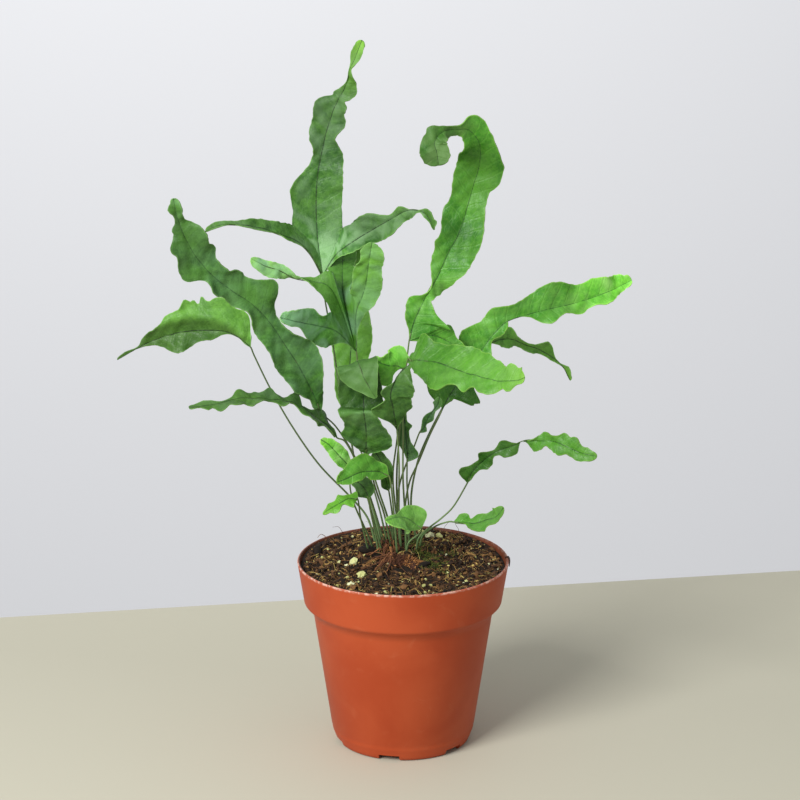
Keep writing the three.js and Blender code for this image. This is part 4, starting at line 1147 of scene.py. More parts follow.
THIN_DARK = Frond(
    "frond_thin_dark", Leaf.DEEP,
    stipe=(
        (7, 20, 95), (4, 17, 118), (7, 21, 137), (13, 27, 151), (21, 33, 165), (30, 38, 179),
        (40, 41, 191), (44, 42, 194),
    ),
    lobes=(
        Lobe(
            fold=10, ruffle=Ruffle(1, 16, 0),
            tone=Tone(1.1, young=0.1, bloom=0.2),
            stations=(
                (44, 42, 194), (49, 45, 195), (55, 49, 194), (62, 53, 190), (70, 57, 186), (80, 61, 178),
                (85.5, 64, 168),
            ),
            left=(
                (0, 0), (0.22, 1.3), (0.8, 1.4), (1.32, 3.1), (1.57, 5.9), (2.3, 2.2), (2.78, 1.6),
                (3.23, 1.4), (3.65, 2.2), (4.04, 5.8), (4.79, 0.3), (5.13, 0.8), (5.26, 2.2), (5.46, 2.6),
                (5.74, 1.7), (6, 0),
            ),
            right=(
                (0, 0), (1.72, 4.6), (2.26, 2.9), (2.71, 2.5), (3.38, 3.2), (4.13, 1.8), (4.69, 1.6),
                (5.24, 0), (6, 0),
            ),
        ),
    ),
)
FRONDS = (
    TALL_TRILOBED, TALL_STRAP, FIVE_LOBED, WAVY_LEFT, DROOPING_LEFT, LOW_LEFT, FRONT_FOLDED, SMALL_CURLED,
    DARK_DIAMOND, HANGING_NARROW, TALL_HOOKED, BIG_RIGHT, BRIGHT_RIGHT, NARROW_GREY, LOW_RIGHT,
    SMALL_RIGHT, FRONT_OVAL, LIGHT_LEFT, BRIGHT_MIDDLE, SMALL_CLUSTER, SMALL_DARK, SMALL_LEFT, THIN_DARK,
)


# ---- Finishes ------------------------------------------------------------------------

LEAF_FINISHES = {
    Leaf.DEEP: LeafFinish(
        shade=(0.026, 0.112, 0.014), light=(0.092, 0.250, 0.036), bloom=(0.170, 0.310, 0.140),
        rib=(0.018, 0.040, 0.016), vein=(0.150, 0.340, 0.080), margin=(0.240, 0.480, 0.110),
        under=(0.090, 0.228, 0.048), roughness=0.44, specular=0.27,
        bloom_share=0.42, rib_share=0.85, vein_share=0.16,
    ),
    Leaf.BLUISH: LeafFinish(
        shade=(0.024, 0.112, 0.014), light=(0.088, 0.262, 0.042), bloom=(0.170, 0.340, 0.170),
        rib=(0.012, 0.040, 0.018), vein=(0.130, 0.300, 0.090), margin=(0.240, 0.450, 0.130),
        under=(0.230, 0.400, 0.180), roughness=0.46, specular=0.25,
        bloom_share=0.5, rib_share=0.6, vein_share=0.16,
    ),
    Leaf.FRESH: LeafFinish(
        shade=(0.042, 0.240, 0.012), light=(0.122, 0.425, 0.033), bloom=(0.235, 0.500, 0.120),
        rib=(0.014, 0.060, 0.012), vein=(0.190, 0.460, 0.070), margin=(0.320, 0.600, 0.100),
        under=(0.170, 0.340, 0.090), roughness=0.42, specular=0.33,
        bloom_share=0.35, rib_share=0.75, vein_share=0.32,
    ),
    Leaf.PALE: LeafFinish(
        shade=(0.070, 0.240, 0.026), light=(0.160, 0.390, 0.062), bloom=(0.290, 0.500, 0.180),
        rib=(0.030, 0.090, 0.030), vein=(0.220, 0.450, 0.120), margin=(0.310, 0.560, 0.130),
        under=(0.180, 0.320, 0.120), roughness=0.42, specular=0.35,
        bloom_share=0.4, rib_share=0.6, vein_share=0.25,
    ),
}
YOUNG = (0.260, 0.600, 0.050)       # the yellow-green of young leaves and tips
UNDER_ROUGHER = 0.12                # how much rougher a leaf's lower face is
UNDER_SHARE = 0.6                   # how much of its own colour the lower face shows
UNDER_VEINS = 0.5                   # how strongly the veins show on it
RIB_WIDTHS = (0.34, 0.19)           # half the drawn rib's width at the base and far out
RIB_RUN = 100.0                     # the distance over which it narrows

STIPE_LOW = ((0.125, 0.245, 0.085), (0.215, 0.315, 0.135))      # two greens that mottle it
STIPE_HIGH = ((0.070, 0.140, 0.036), (0.170, 0.215, 0.075))
STIPE_OUTER = (0.022, 0.050, 0.014)

TERRACOTTA = ((0.375, 0.054, 0.015), (0.430, 0.072, 0.022))
SMEAR = (0.58, 0.24, 0.13)
# scuffed lip with painted highlight
WORN_LIP_AND_HIGHLIGHT = (0.82, 0.58, 0.48)
POT_INSIDE = (0.13, 0.045, 0.022)

EARTH = (
    (0.0, (0.006, 0.004, 0.002)), (0.3, (0.030, 0.015, 0.007)), (0.52, (0.090, 0.040, 0.015)),
    (0.74, (0.230, 0.115, 0.038)), (0.9, (0.440, 0.280, 0.085)), (1.0, (0.620, 0.520, 0.150)),
)
PERLITE_RAMP = (
    (0.0, (0.36, 0.36, 0.12)), (0.45, (0.56, 0.57, 0.22)), (1.0, (0.82, 0.82, 0.62)),
)
MOSS_RAMP = (
    (0.0, (0.020, 0.030, 0.006)), (0.6, (0.066, 0.090, 0.013)), (1.0, (0.190, 0.205, 0.035)),
)
RHIZOME_RAMP = (
    (0.0, (0.035, 0.014, 0.008)), (0.4, (0.110, 0.042, 0.020)),
    (0.7, (0.260, 0.105, 0.040)), (1.0, (0.560, 0.270, 0.080)),
)


class Shader:
    """A material's node tree, with short calls for adding and linking nodes."""

    def __init__(self, name: str, roughness: float, specular: float = 0.35) -> None:
        """Makes a material whose Principled node has this roughness and specular level.

        Args:
            name: The material's name.
            roughness: The Principled node's roughness.
            specular: Its specular level.
        """
        self.material = bpy.data.materials.new(name)
        self.material.use_nodes = True
        self.tree = self.material.node_tree
        self.surface = self.tree.nodes["Principled BSDF"]
        self.surface.inputs["Roughness"].default_value = roughness
        self.surface.inputs["Specular IOR Level"].default_value = specular

    def put(self, socket: Socket, value: object) -> None:
        """Links value to the socket, or sets it where it is a plain number or colour.

        Args:
            socket: The input to fill.
            value: An output to link, or a number, vector or colour.
        """
        if isinstance(value, Socket):
            self.tree.links.new(value, socket)
        elif isinstance(value, tuple) and len(value) == 3 and socket.type == "RGBA":
            socket.default_value = (*value, 1.0)
        else:
            socket.default_value = value

    def math(self, operation: str, *values: object, clamp: bool = False) -> Socket:
        """Returns the result of a Math node.

        Args:
            operation: The node's operation.
            values: Its inputs, in order.
            clamp: Whether the result is kept between 0 and 1.

        Returns:
            The node's output.
        """
        node = self.tree.nodes.new("ShaderNodeMath")
        node.operation = operation
        node.use_clamp = clamp
        for socket, value in zip(node.inputs, values):
            self.put(socket, value)
        return node.outputs[0]

    def mix(self, share: object, first: object, second: object) -> Socket:
        """Returns two colours mixed by share.

        Args:
            share: The second colour's share.
            first: The colour at share 0.
            second: The colour at share 1.

        Returns:
            The mixed colour.
        """
        node = self.tree.nodes.new("ShaderNodeMix")
        node.data_type = "RGBA"
        self.put(node.inputs[0], share)     # inputs 6 and 7 and output 2 are the colours
        self.put(node.inputs[6], first)
        self.put(node.inputs[7], second)
        return node.outputs[2]

    def span(
        self, value: object, low: float, high: float, to_low: float = 0.0, to_high: float = 1.0,
    ) -> Socket:
        """Returns value mapped from low..high to to_low..to_high, smoothly and clamped.

        Args:
            value: What is mapped.
            low: Where the range starts.
            high: Where it ends.
            to_low: The result at low.
            to_high: The result at high.

        Returns:
            The mapped value.
        """
        node = self.tree.nodes.new("ShaderNodeMapRange")
        node.interpolation_type = "SMOOTHSTEP"
        for socket, number in zip(node.inputs, (value, low, high, to_low, to_high)):
            self.put(socket, number)
        return node.outputs[0]

    def place(self) -> Socket:
        """Returns the Object coordinates."""
        return self.tree.nodes.new("ShaderNodeTexCoord").outputs["Object"]

    def noise(self, scale: float, detail: float = 3.0, twist: float = 0.0, vector: object = None) -> Socket:
        """Returns a noise between 0 and 1.

        Args:
            scale: The noise's scale.
            detail: Its number of finer layers.
            twist: Its distortion.
            vector: Where it is read, or None for the object's own coordinates.

        Returns:
            The noise.
        """
        node = self.tree.nodes.new("ShaderNodeTexNoise")
        self.put(node.inputs["Vector"], vector or self.place())
        node.inputs["Scale"].default_value = scale
        node.inputs["Detail"].default_value = detail
        node.inputs["Distortion"].default_value = twist
        return node.outputs[0]

    def cells(self, scale: float, vector: Socket) -> Socket:
        """Returns the distance to the edge of small cells.

        Args:
            scale: The scale of the cells.
            vector: Where they are read.

        Returns:
            The distance, 0 at an edge.
        """
        node = self.tree.nodes.new("ShaderNodeTexVoronoi")
        node.feature = "DISTANCE_TO_EDGE"
        self.put(node.inputs["Vector"], vector)
        node.inputs["Scale"].default_value = scale
        return node.outputs["Distance"]

    def vector(self, *values: object) -> Socket:
        """Returns a vector of three values.

        Args:
            values: Three numbers or outputs.

        Returns:
            The vector.
        """
        node = self.tree.nodes.new("ShaderNodeCombineXYZ")
        for socket, value in zip(node.inputs, values):
            self.put(socket, value)
        return node.outputs[0]

    def attribute(self, name: str) -> Socket:
        """Returns the three numbers that a mesh attribute holds, as a vector.

        Args:
            name: The attribute's name.

        Returns:
            The vector's output.
        """
        node = self.tree.nodes.new("ShaderNodeAttribute")
        node.attribute_name = name
        return node.outputs["Vector"]

    def parts(self, vector: Socket) -> tuple[Socket, ...]:
        """Returns a vector's three numbers.

        Args:
            vector: The vector to split.

        Returns:
            Its x, y and z.
        """
        node = self.tree.nodes.new("ShaderNodeSeparateXYZ")
        self.put(node.inputs[0], vector)
        return tuple(node.outputs)

    def reach(self) -> Socket:
        """Returns the distance from the part's upright axis, in metres."""
        x, y, _ = self.parts(self.place())
        return self.math("SQRT", self.math("ADD", self.math("MULTIPLY", x, x), self.math("MULTIPLY", y, y)))

    def ramp(self, value: object, stops: Sequence[tuple[float, Colour]]) -> Socket:
        """Returns the colour of a ramp at value.

        Args:
            value: The place on the ramp, 0 to 1.
            stops: Place and colour of each stop, in rising order.

        Returns:
            The colour.
        """
        node = self.tree.nodes.new("ShaderNodeValToRGB")
        self.put(node.inputs[0], value)
        elements = node.color_ramp.elements
        while len(elements) < len(stops):
            elements.new(0.5)
        for element, (at, colour) in zip(elements, stops):
            element.position = at
            element.color = (*colour, 1.0)
        return node.outputs[0]

    def bump(self, height: object, depth: float, strength: float = 1.0) -> None:
        """Roughens the surface by height, depth millimetres deep.

        Args:
            height: What stands up.
            depth: Height of the relief in millimetres.
            strength: Share of it, turned over where it is below 0.
        """
        node = self.tree.nodes.new("ShaderNodeBump")
        node.inputs["Strength"].default_value = strength
        node.inputs["Distance"].default_value = depth * MM
        self.put(node.inputs["Height"], height)
        self.put(self.surface.inputs["Normal"], node.outputs[0])

    def colour(self, value: object) -> None:
        """Sets or links the base colour."""
        self.put(self.surface.inputs["Base Color"], value)


class LeafShader(Shader):
    """A leaf's material, built up from its mottled green to its margin, rib and relief.

    It reads the point attributes leaf (the run along the rib, the distance across from it
    and tone (brightness, youth and bloom, which in places carry painted shade, light and sheen).
    """

    def __init__(self, leaf: Leaf, underside: bool) -> None:
        """Starts the material of a kind of leaf, of its upper face or its paler lower one.

        Args:
            leaf: The kind of leaf.
            underside: True for the lower face.
        """
        self.finish = LEAF_FINISHES[leaf]
        self.underside = underside
        self.rough = self.finish.roughness + (UNDER_ROUGHER if underside else 0.0)
        side = "under" if underside else "upper"
        super().__init__(f"{leaf.value}_{side}", self.rough, self.finish.specular)
        self.marks = self.attribute("leaf")
        self.run, across, self.edge = self.parts(self.marks)
        self.bright, self.young, self.bloom = self.parts(self.attribute("tone"))
        self.away = self.math("ABSOLUTE", across)
        self.lean = self.math("MULTIPLY_ADD", self.away, -VEIN_LEAN, self.run)
        along_veins = self.vector(self.lean, self.math("MULTIPLY", across, 0.28), 0.0)
        self.streaks = self.noise(0.42, 3.0, 0.3, along_veins)

    def ground(self) -> Socket:
        """Returns the green, mottled, and streaked along the veins with paler streaks that are partly
        painted highlight.

        Returns:
            The colour under the bloom and the veins.
        """
        patches = self.math("MULTIPLY", self.noise(50, 2.0, 0.6), 0.5)
        # the streaks lighten the green between the veins: partly painted highlight
        patches = self.math("MULTIPLY_ADD", self.streaks, 0.24, patches)
        mottle = self.math("MULTIPLY_ADD", self.noise(520, 4.0), 0.34, patches)
        green = self.mix(self.span(mottle, 0.41, 0.67), self.finish.shade, self.finish.light)
        if self.underside:
            green = self.mix(UNDER_SHARE, green, self.finish.under)
        return self.mix(self.young, green, YOUNG)

    def film(self) -> Socket:
        """Returns the share of waxy bloom, which lies in uneven patches; where a lobe's tone raises it, it
        is partly painted sheen.
        """
        patches = self.span(self.noise(62, 4.0, 1.2), 0.36, 0.70)
        return self.math("MULTIPLY", patches, self.math("MULTIPLY", self.bloom, self.finish.bloom_share))

    def lateral(self) -> Socket:
        """Returns the slanting side veins, as 1 on a vein and 0 off it.

        Returns:
            The veins' share at a place.
        """
        wavy = self.math("MULTIPLY_ADD", self.noise(95, 2.0), 3.0, self.lean)
        phase = self.math("PINGPONG", self.math("MULTIPLY", wavy, 1 / VEIN_STEP), 0.5)
        return self.span(phase, 0.0, 0.11, 1.0, 0.0)

    def rib(self) -> Socket:
        """Returns the share of the rib's dark line, which is worn in places.

        Returns:
            The rib's share at a place.
        """
        line = self.math("LESS_THAN", self.away, self.span(self.run, 0.0, RIB_RUN, *RIB_WIDTHS))
        worn = self.span(self.noise(420, 2.0), 0.3, 0.55, 0.35, 1.0)
        shown = self.finish.rib_share * (UNDER_SHARE if self.underside else 1.0)
        return self.math("MULTIPLY", line, self.math("MULTIPLY", worn, shown))

    def relief(self, lateral: Socket, net: Socket) -> None:
        """Sinks the veins and roughens the face, and turns it over on the lower side.

        Args:
            lateral: The side veins.
            net: The fine net of veins between them.
        """
        height = self.math("MULTIPLY", lateral, -2.5 * self.finish.vein_share)
        height = self.math("MULTIPLY_ADD", net, -0.45, height)
        height = self.math("MULTIPLY_ADD", self.noise(900, 2.0), 0.5, height)
        height = self.math("MULTIPLY_ADD", self.streaks, 1.2, height)
        self.bump(height, 0.18, -0.7 if self.underside else 0.7)

    def build(self) -> bpy.types.Material:
        """Puts the layers together and returns the material.

        Returns:
            The finished material.
        """
        film, lateral = self.film(), self.lateral()
        net = self.span(self.cells(0.42, self.marks), 0.0, 0.09, 1.0, 0.0)
        veins = self.math("MAXIMUM", self.math("MULTIPLY", lateral, 0.6), self.math("MULTIPLY", net, 0.7))
        vein_share = UNDER_VEINS if self.underside else self.finish.vein_share
        green = self.mix(film, self.ground(), self.finish.bloom)
        green = self.mix(self.math("MULTIPLY", veins, vein_share), green, self.finish.vein)
        # pale line along the free margin: partly the leaf's paler edge, partly painted highlight
        green = self.mix(self.span(self.edge, 0.15, 0.6, 0.5, 0.0), green, self.finish.margin)
        green = self.mix(self.rib(), green, self.finish.rib)
        shade = self.tree.nodes.new("ShaderNodeHueSaturation")
        self.put(shade.inputs["Value"], self.bright)
        self.put(shade.inputs["Color"], green)
        self.colour(shade.outputs[0])
        self.put(self.surface.inputs["Roughness"], self.math("MULTIPLY_ADD", film, 0.2, self.rough))
        self.relief(lateral, net)
        return self.material


def stipe_material() -> bpy.types.Material:
    """Makes the stalks' material: light green at the soil, dark above and far out.

    Returns:
        The finished material.
    """
    shader = Shader("stipe", 0.45)
    height = shader.parts(shader.place())[2]
    dark = shader.mix(shader.noise(220, 2.0), *STIPE_HIGH)
    low = shader.mix(shader.noise(150, 2.0), *STIPE_LOW)
    outer = shader.span(shader.reach(), 0.022, 0.036)
    share = shader.math("MAXIMUM", shader.span(height, 0.097, 0.135), outer)
    green = shader.mix(share, low, dark)
    shader.colour(shader.mix(shader.math("MULTIPLY", outer, 0.55), green, STIPE_OUTER))
    shader.bump(shader.noise(1200, 2.0), 0.08, 0.5)
    return shader.material


def pot_material() -> bpy.types.Material:
    """Makes the pot's moulded plastic, with faint marks, a paler lip of scuffs and painted highlight, and a
    dark inside.

    Returns:
        The finished material.
    """
    shader = Shader("pot_plastic", 0.46, 0.2)
    height = shader.parts(shader.place())[2]
    colour = shader.mix(shader.span(shader.noise(26, 4.0, 0.6), 0.35, 0.7), *TERRACOTTA)
    smears = shader.span(shader.noise(60, 6.0, 2.0), 0.56, 0.8)
    colour = shader.mix(shader.math("MULTIPLY", smears, 0.1), colour, SMEAR)
    # the pale lip: scuffs, and painted highlight along the rim
    lip = shader.span(height, 0.0926, 0.0935)
    chips = shader.span(shader.noise(420, 5.0, 0.5), 0.44, 0.6)
    worn = shader.math("MULTIPLY", lip, shader.math("MULTIPLY_ADD", chips, 0.5, 0.1))
    colour = shader.mix(worn, colour, WORN_LIP_AND_HIGHLIGHT)
    slope = (RIM_RADIUS - BAND_BOTTOM_RADIUS) / (POT_HEIGHT - BAND_BOTTOM)
    middle = (BAND_BOTTOM_RADIUS - slope * BAND_BOTTOM - WALL / 2) * MM
    inside = shader.math("LESS_THAN", shader.math("MULTIPLY_ADD", height, -slope, shader.reach()), middle)
    inner = shader.math("MULTIPLY", inside, shader.span(height, 0.080, 0.0815))
    shader.colour(shader.mix(shader.math("MULTIPLY", inner, 0.85), colour, POT_INSIDE))
    shader.put(shader.surface.inputs["Roughness"], shader.span(smears, 0.0, 1.0, 0.5, 0.6))
    shader.bump(shader.noise(700, 3.0), 0.05, 0.35)
    return shader.material


def earth_material(
    name: str, stops: Sequence[tuple[float, Colour]], grain: float, depth: float,
) -> bpy.types.Material:
    """Makes a crumbly material whose colour runs along a ramp by the attribute tone.

    Args:
        name: The material's name.
        stops: The ramp's colours.
        grain: Scale of the noise that breaks the colour up.
        depth: Depth of the relief in millimetres.

    Returns:
        The material.
    """
    shader = Shader(name, 0.9)
    tone = shader.parts(shader.attribute("tone"))[0]
    speck = shader.math("MULTIPLY_ADD", shader.noise(grain, 5.0), 0.5, -0.25)
    shader.colour(shader.ramp(shader.math("ADD", tone, speck, clamp=True), stops))
    shader.bump(shader.noise(grain * 1.5, 4.0), depth, 0.9)
    return shader.material


# ---- Modelling helpers ---------------------------------------------------------------


def deselect() -> None:
    """Leaves object mode's selection empty, so that operators act on one piece only."""
    bpy.ops.object.select_all(action="DESELECT")


def pick(*objects: bpy.types.Object) -> None:
    """Selects these objects and makes the first one active.

    Args:
        objects: What to select, the active one first.
    """
    deselect()
    for item in objects:
        item.select_set(True)
    bpy.context.view_layer.objects.active = objects[0]


def apply_modifier(item: bpy.types.Object, kind: str, **settings: object) -> None:
    """Adds a modifier with these settings and applies it.

    Args:
        item: The piece.
        kind: The modifier's type.
        settings: Its properties by name.
    """
    pick(item)
    modifier = item.modifiers.new(kind.title(), kind)
    for name, value in settings.items():
        setattr(modifier, name, value)
    bpy.ops.object.modifier_apply(modifier=modifier.name)


def smooth(item: bpy.types.Object, degrees: float) -> None:
    """Shades a piece smooth, except at edges sharper than degrees."""
    pick(item)
    bpy.ops.object.shade_smooth_by_angle(angle=math.radians(degrees))


def merge(item: bpy.types.Object, distance: float = JOIN_DISTANCE) -> None:
    """Merges points closer than distance millimetres and drops faces without area.

    Args:
        item: The piece.
        distance: In millimetres.
    """
    mesh = bmesh.new()
    mesh.from_mesh(item.data)
    bmesh.ops.remove_doubles(mesh, verts=mesh.verts, dist=distance * MM)
    bmesh.ops.dissolve_degenerate(mesh, edges=mesh.edges, dist=0.1 * distance * MM)
    mesh.to_mesh(item.data)
    mesh.free()


def join(*objects: bpy.types.Object) -> bpy.types.Object:
    """Joins objects into the first one and returns it.

    Args:
        objects: The pieces to join.

    Returns:
        The first of them, which now holds all.
    """
    pick(*objects)
    bpy.ops.object.join()
    return objects[0]


def mark(item: bpy.types.Object, name: str, values: np.ndarray) -> None:
    """Stores three numbers at every point of a piece."""
    layer = item.data.attributes.new(name, "FLOAT_VECTOR", "POINT")
    layer.data.foreach_set("vector", np.ascontiguousarray(values, np.float32).ravel())


def tone_points(item: bpy.types.Object, tones: Sequence[float]) -> None:
    """Stores a tone at every point of a piece, and starts the tones again where they run out."""
    values = np.resize(np.array(tones, float), len(item.data.vertices))
    mark(item, "tone", np.stack([values] * 3, axis=1))


def tone_tubes(item: bpy.types.Object, lines: Sequence[Line], tones: Sequence[float], sides: int) -> None:
    """Gives every tube of a piece its own tone, by the place in the mesh of its points."""
    tone_points(item, np.repeat(tones, [sides * len(points) for points, _ in lines]))


def dress(item: bpy.types.Object, *materials: bpy.types.Material) -> None:
    """Gives a piece its materials in place of what it has.

    Args:
        item: The piece.
        materials: Its new materials, by slot.
    """
    item.data.materials.clear()
    for material in materials:
        item.data.materials.append(material)


def tubes(name: str, lines: Sequence[Line], sides: int = 8) -> bpy.types.Object:
    """Makes round, closed tubes.

    Args:
        name: The new object's name.
        lines: For each tube its points and its radius at each of them.
        sides: Sides of the round section, 4 or more.

    Returns:
        One mesh object that holds every tube.
    """
    curve = bpy.data.curves.new(name, "CURVE")
    curve.dimensions = "3D"
    curve.bevel_depth = MM
    curve.bevel_resolution = max(0, sides // 2 - 2)
    curve.use_fill_caps = True
    for points, radii in lines:
        spline = curve.splines.new("POLY")
        spline.points.add(len(points) - 1)
        for point, place, radius in zip(spline.points, points, radii):
            point.co = (*(float(value) * MM for value in place), 1.0)
            point.radius = float(radius)
    item = bpy.data.objects.new(name, curve)
    bpy.context.collection.objects.link(item)
    pick(item)
    bpy.ops.object.convert(target="MESH")
    item = bpy.context.view_layer.objects.active
    merge(item, 0.002)
    return item


def lathe(name: str, profile: Sequence[Span], steps: int) -> bpy.types.Object:
    """Spins an outline of radius and height about the Z axis into a closed body.

    Args:
        name: The new object's name.
        profile: Radius and height of each point, along the outline.
        steps: Sides of the round body.

    Returns:
        The closed body.
    """
    mesh = bpy.data.meshes.new(name)
    points = [(radius * MM, 0.0, height * MM) for radius, height in profile]
    mesh.from_pydata(points, [(i, i + 1) for i in range(len(points) - 1)], [])
    item = bpy.data.objects.new(name, mesh)
    bpy.context.collection.objects.link(item)
    apply_modifier(
        item, "SCREW", steps=steps, render_steps=steps, axis="Z", use_merge_vertices=True,
        merge_threshold=1e-6, use_normal_calculate=True,
    )
    merge(item, 0.002)
    outward(item)
    return item


def outward(item: bpy.types.Object) -> None:
    """Turns every face of a closed body outward.

    Args:
        item: The body.
    """
    pick(item)
    bpy.ops.object.mode_set(mode="EDIT")
    bpy.ops.mesh.select_all(action="SELECT")
    bpy.ops.mesh.normals_make_consistent(inside=False)
    bpy.ops.object.mode_set(mode="OBJECT")


def hand_over(item: bpy.types.Object, slot: str, *nodes: str) -> None:
    """Hands a finished piece over to the frame and logs it.

    Args:
        item: The piece.
        slot: The record's material slot; not used.
        nodes: The CAD nodes whose place it takes.
    """
    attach(item, "root")
    if nodes:
        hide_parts(*nodes)
    LOG.info("%s: %d faces", item.name, len(item.data.polygons))


# ---- Building the fronds -------------------------------------------------------------


@dataclass
class FrondBuilder:
    """Builds fronds as fine meshes and dresses them.

    Args:
        stipe_radius: A stalk's radius below its blade.
        foot_swell: How much thicker it is at its foot.
        rib_radii: The rib's radius at the lobe's base and tip.
        rib_depth: How far its middle lies under the blade's.
        uppers: The materials of the upper faces.
        unders: Those of the lower faces.
        stipes: The stalks' material.
    """

    stipe_radius: float = 0.38
    foot_swell: float = 0.24
    rib_radii: Span = (0.4, 0.1)
    rib_depth: float = 0.58
    uppers: dict[Leaf, bpy.types.Material] = field(default_factory=dict)
    unders: dict[Leaf, bpy.types.Material] = field(default_factory=dict)
    stipes: bpy.types.Material | None = None

    def make_materials(self) -> None:
        """Makes the materials that the fronds share."""
        for leaf in Leaf:
            self.uppers[leaf] = LeafShader(leaf, underside=False).build()
            self.unders[leaf] = LeafShader(leaf, underside=True).build()
        self.stipes = stipe_material()

    def lobe_grid(
        self, lobe: Lobe, left: tuple[Row, ...] | None, right: tuple[Row, ...] | None, base: Tone,
    ) -> bpy.types.Object:
        """Shapes a grid primitive into one lobe's sheet.

        Args:
            lobe: The lobe.
            left: Its seam with the lobe to the left, if there is one.
            right: Its seam with the lobe to the right.
            base: The tone at the frond's base.

        Returns:
            The sheet, still without thickness.
        """
        points, marks, tones = lobe.sheet(left, right, base)
        count, width = points.shape[:2]
        bpy.ops.mesh.primitive_grid_add(x_subdivisions=width - 1, y_subdivisions=count - 1, size=2)
        item = bpy.context.object
        flat = np.empty(3 * count * width)
        item.data.vertices.foreach_get("co", flat)
        flat = flat.reshape(-1, 3)
        column = np.rint((flat[:, 0] + 1) / 2 * (width - 1)).astype(int)
        row = np.rint((flat[:, 1] + 1) / 2 * (count - 1)).astype(int)
        item.data.vertices.foreach_set("co", (points[row, column] * MM).ravel())
        mark(item, "leaf", marks[row, column])
        mark(item, "tone", tones[row, column])
        return item

    def blade(self, frond: Frond) -> bpy.types.Object:
        """Joins a frond's lobes along their seams and gives the sheet its thickness.

        Args:
            frond: The frond.

        Returns:
            The closed blade.
        """
        grids = []
        for i, lobe in enumerate(frond.lobes):
            left = frond.seams[i - 1] if i > 0 else None
            right = frond.seams[i] if i < len(frond.seams) else None
            grids.append(self.lobe_grid(lobe, left, right, frond.lobes[frond.main].tone))
        item = join(*grids)
        merge(item)
        dress(item, self.uppers[frond.leaf], self.unders[frond.leaf])
        apply_modifier(
            item, "SOLIDIFY", thickness=BLADE * MM, offset=0.0, use_rim=True,
            use_quality_normals=True, material_offset=1, material_offset_rim=0,
        )
        return item

    def stalk(self, frond: Frond) -> bpy.types.Object:
        """Makes the stipe, which runs on under the blade, and a tapering rib in each lobe.

        Args:
            frond: The frond.

        Returns:
            Its stipe and ribs as one mesh object.
        """
        stipe = np.array(frond.stipe, float)
        root = stipe[0] - unit(stipe[1] - stipe[0]) * ROOT_DEPTH
        under = between(frond.lobes[frond.main].rows, np.array([RIB_OVERLAP]))[:, :3]
        path = np.vstack([root, stipe, under])
        u = np.linspace(0, len(path) - 1, 10 * len(path))
        share = u / u[-1]
        lines = [(between(path, u), self.stipe_radius + self.foot_swell * (1 - share) ** 2)]
        for lobe in frond.lobes:
            v = np.linspace(0.1, lobe.last - 0.6, 8 * lobe.last)
            place, facing, _ = lobe.rib(v)
            lines.append((place - self.rib_depth * facing, np.linspace(*self.rib_radii, len(v))))
        return tubes(frond.name + "_stalk", lines)

    def build(self, frond: Frond) -> bpy.types.Object:
        """Builds and dresses one frond as a single piece.

        Args:
            frond: The frond.

        Returns:
            The finished piece.
        """
        blade = self.blade(frond)
        stalk = self.stalk(frond)
        dress(stalk, self.stipes)
        item = join(blade, stalk)
        item.name = frond.name + "_fine"
        item.data.name = item.name
        smooth(item, 55)
        hand_over(item, frond.leaf.value, frond.name)
        return item


# ---- Pot -----------------------------------------------------------------------------


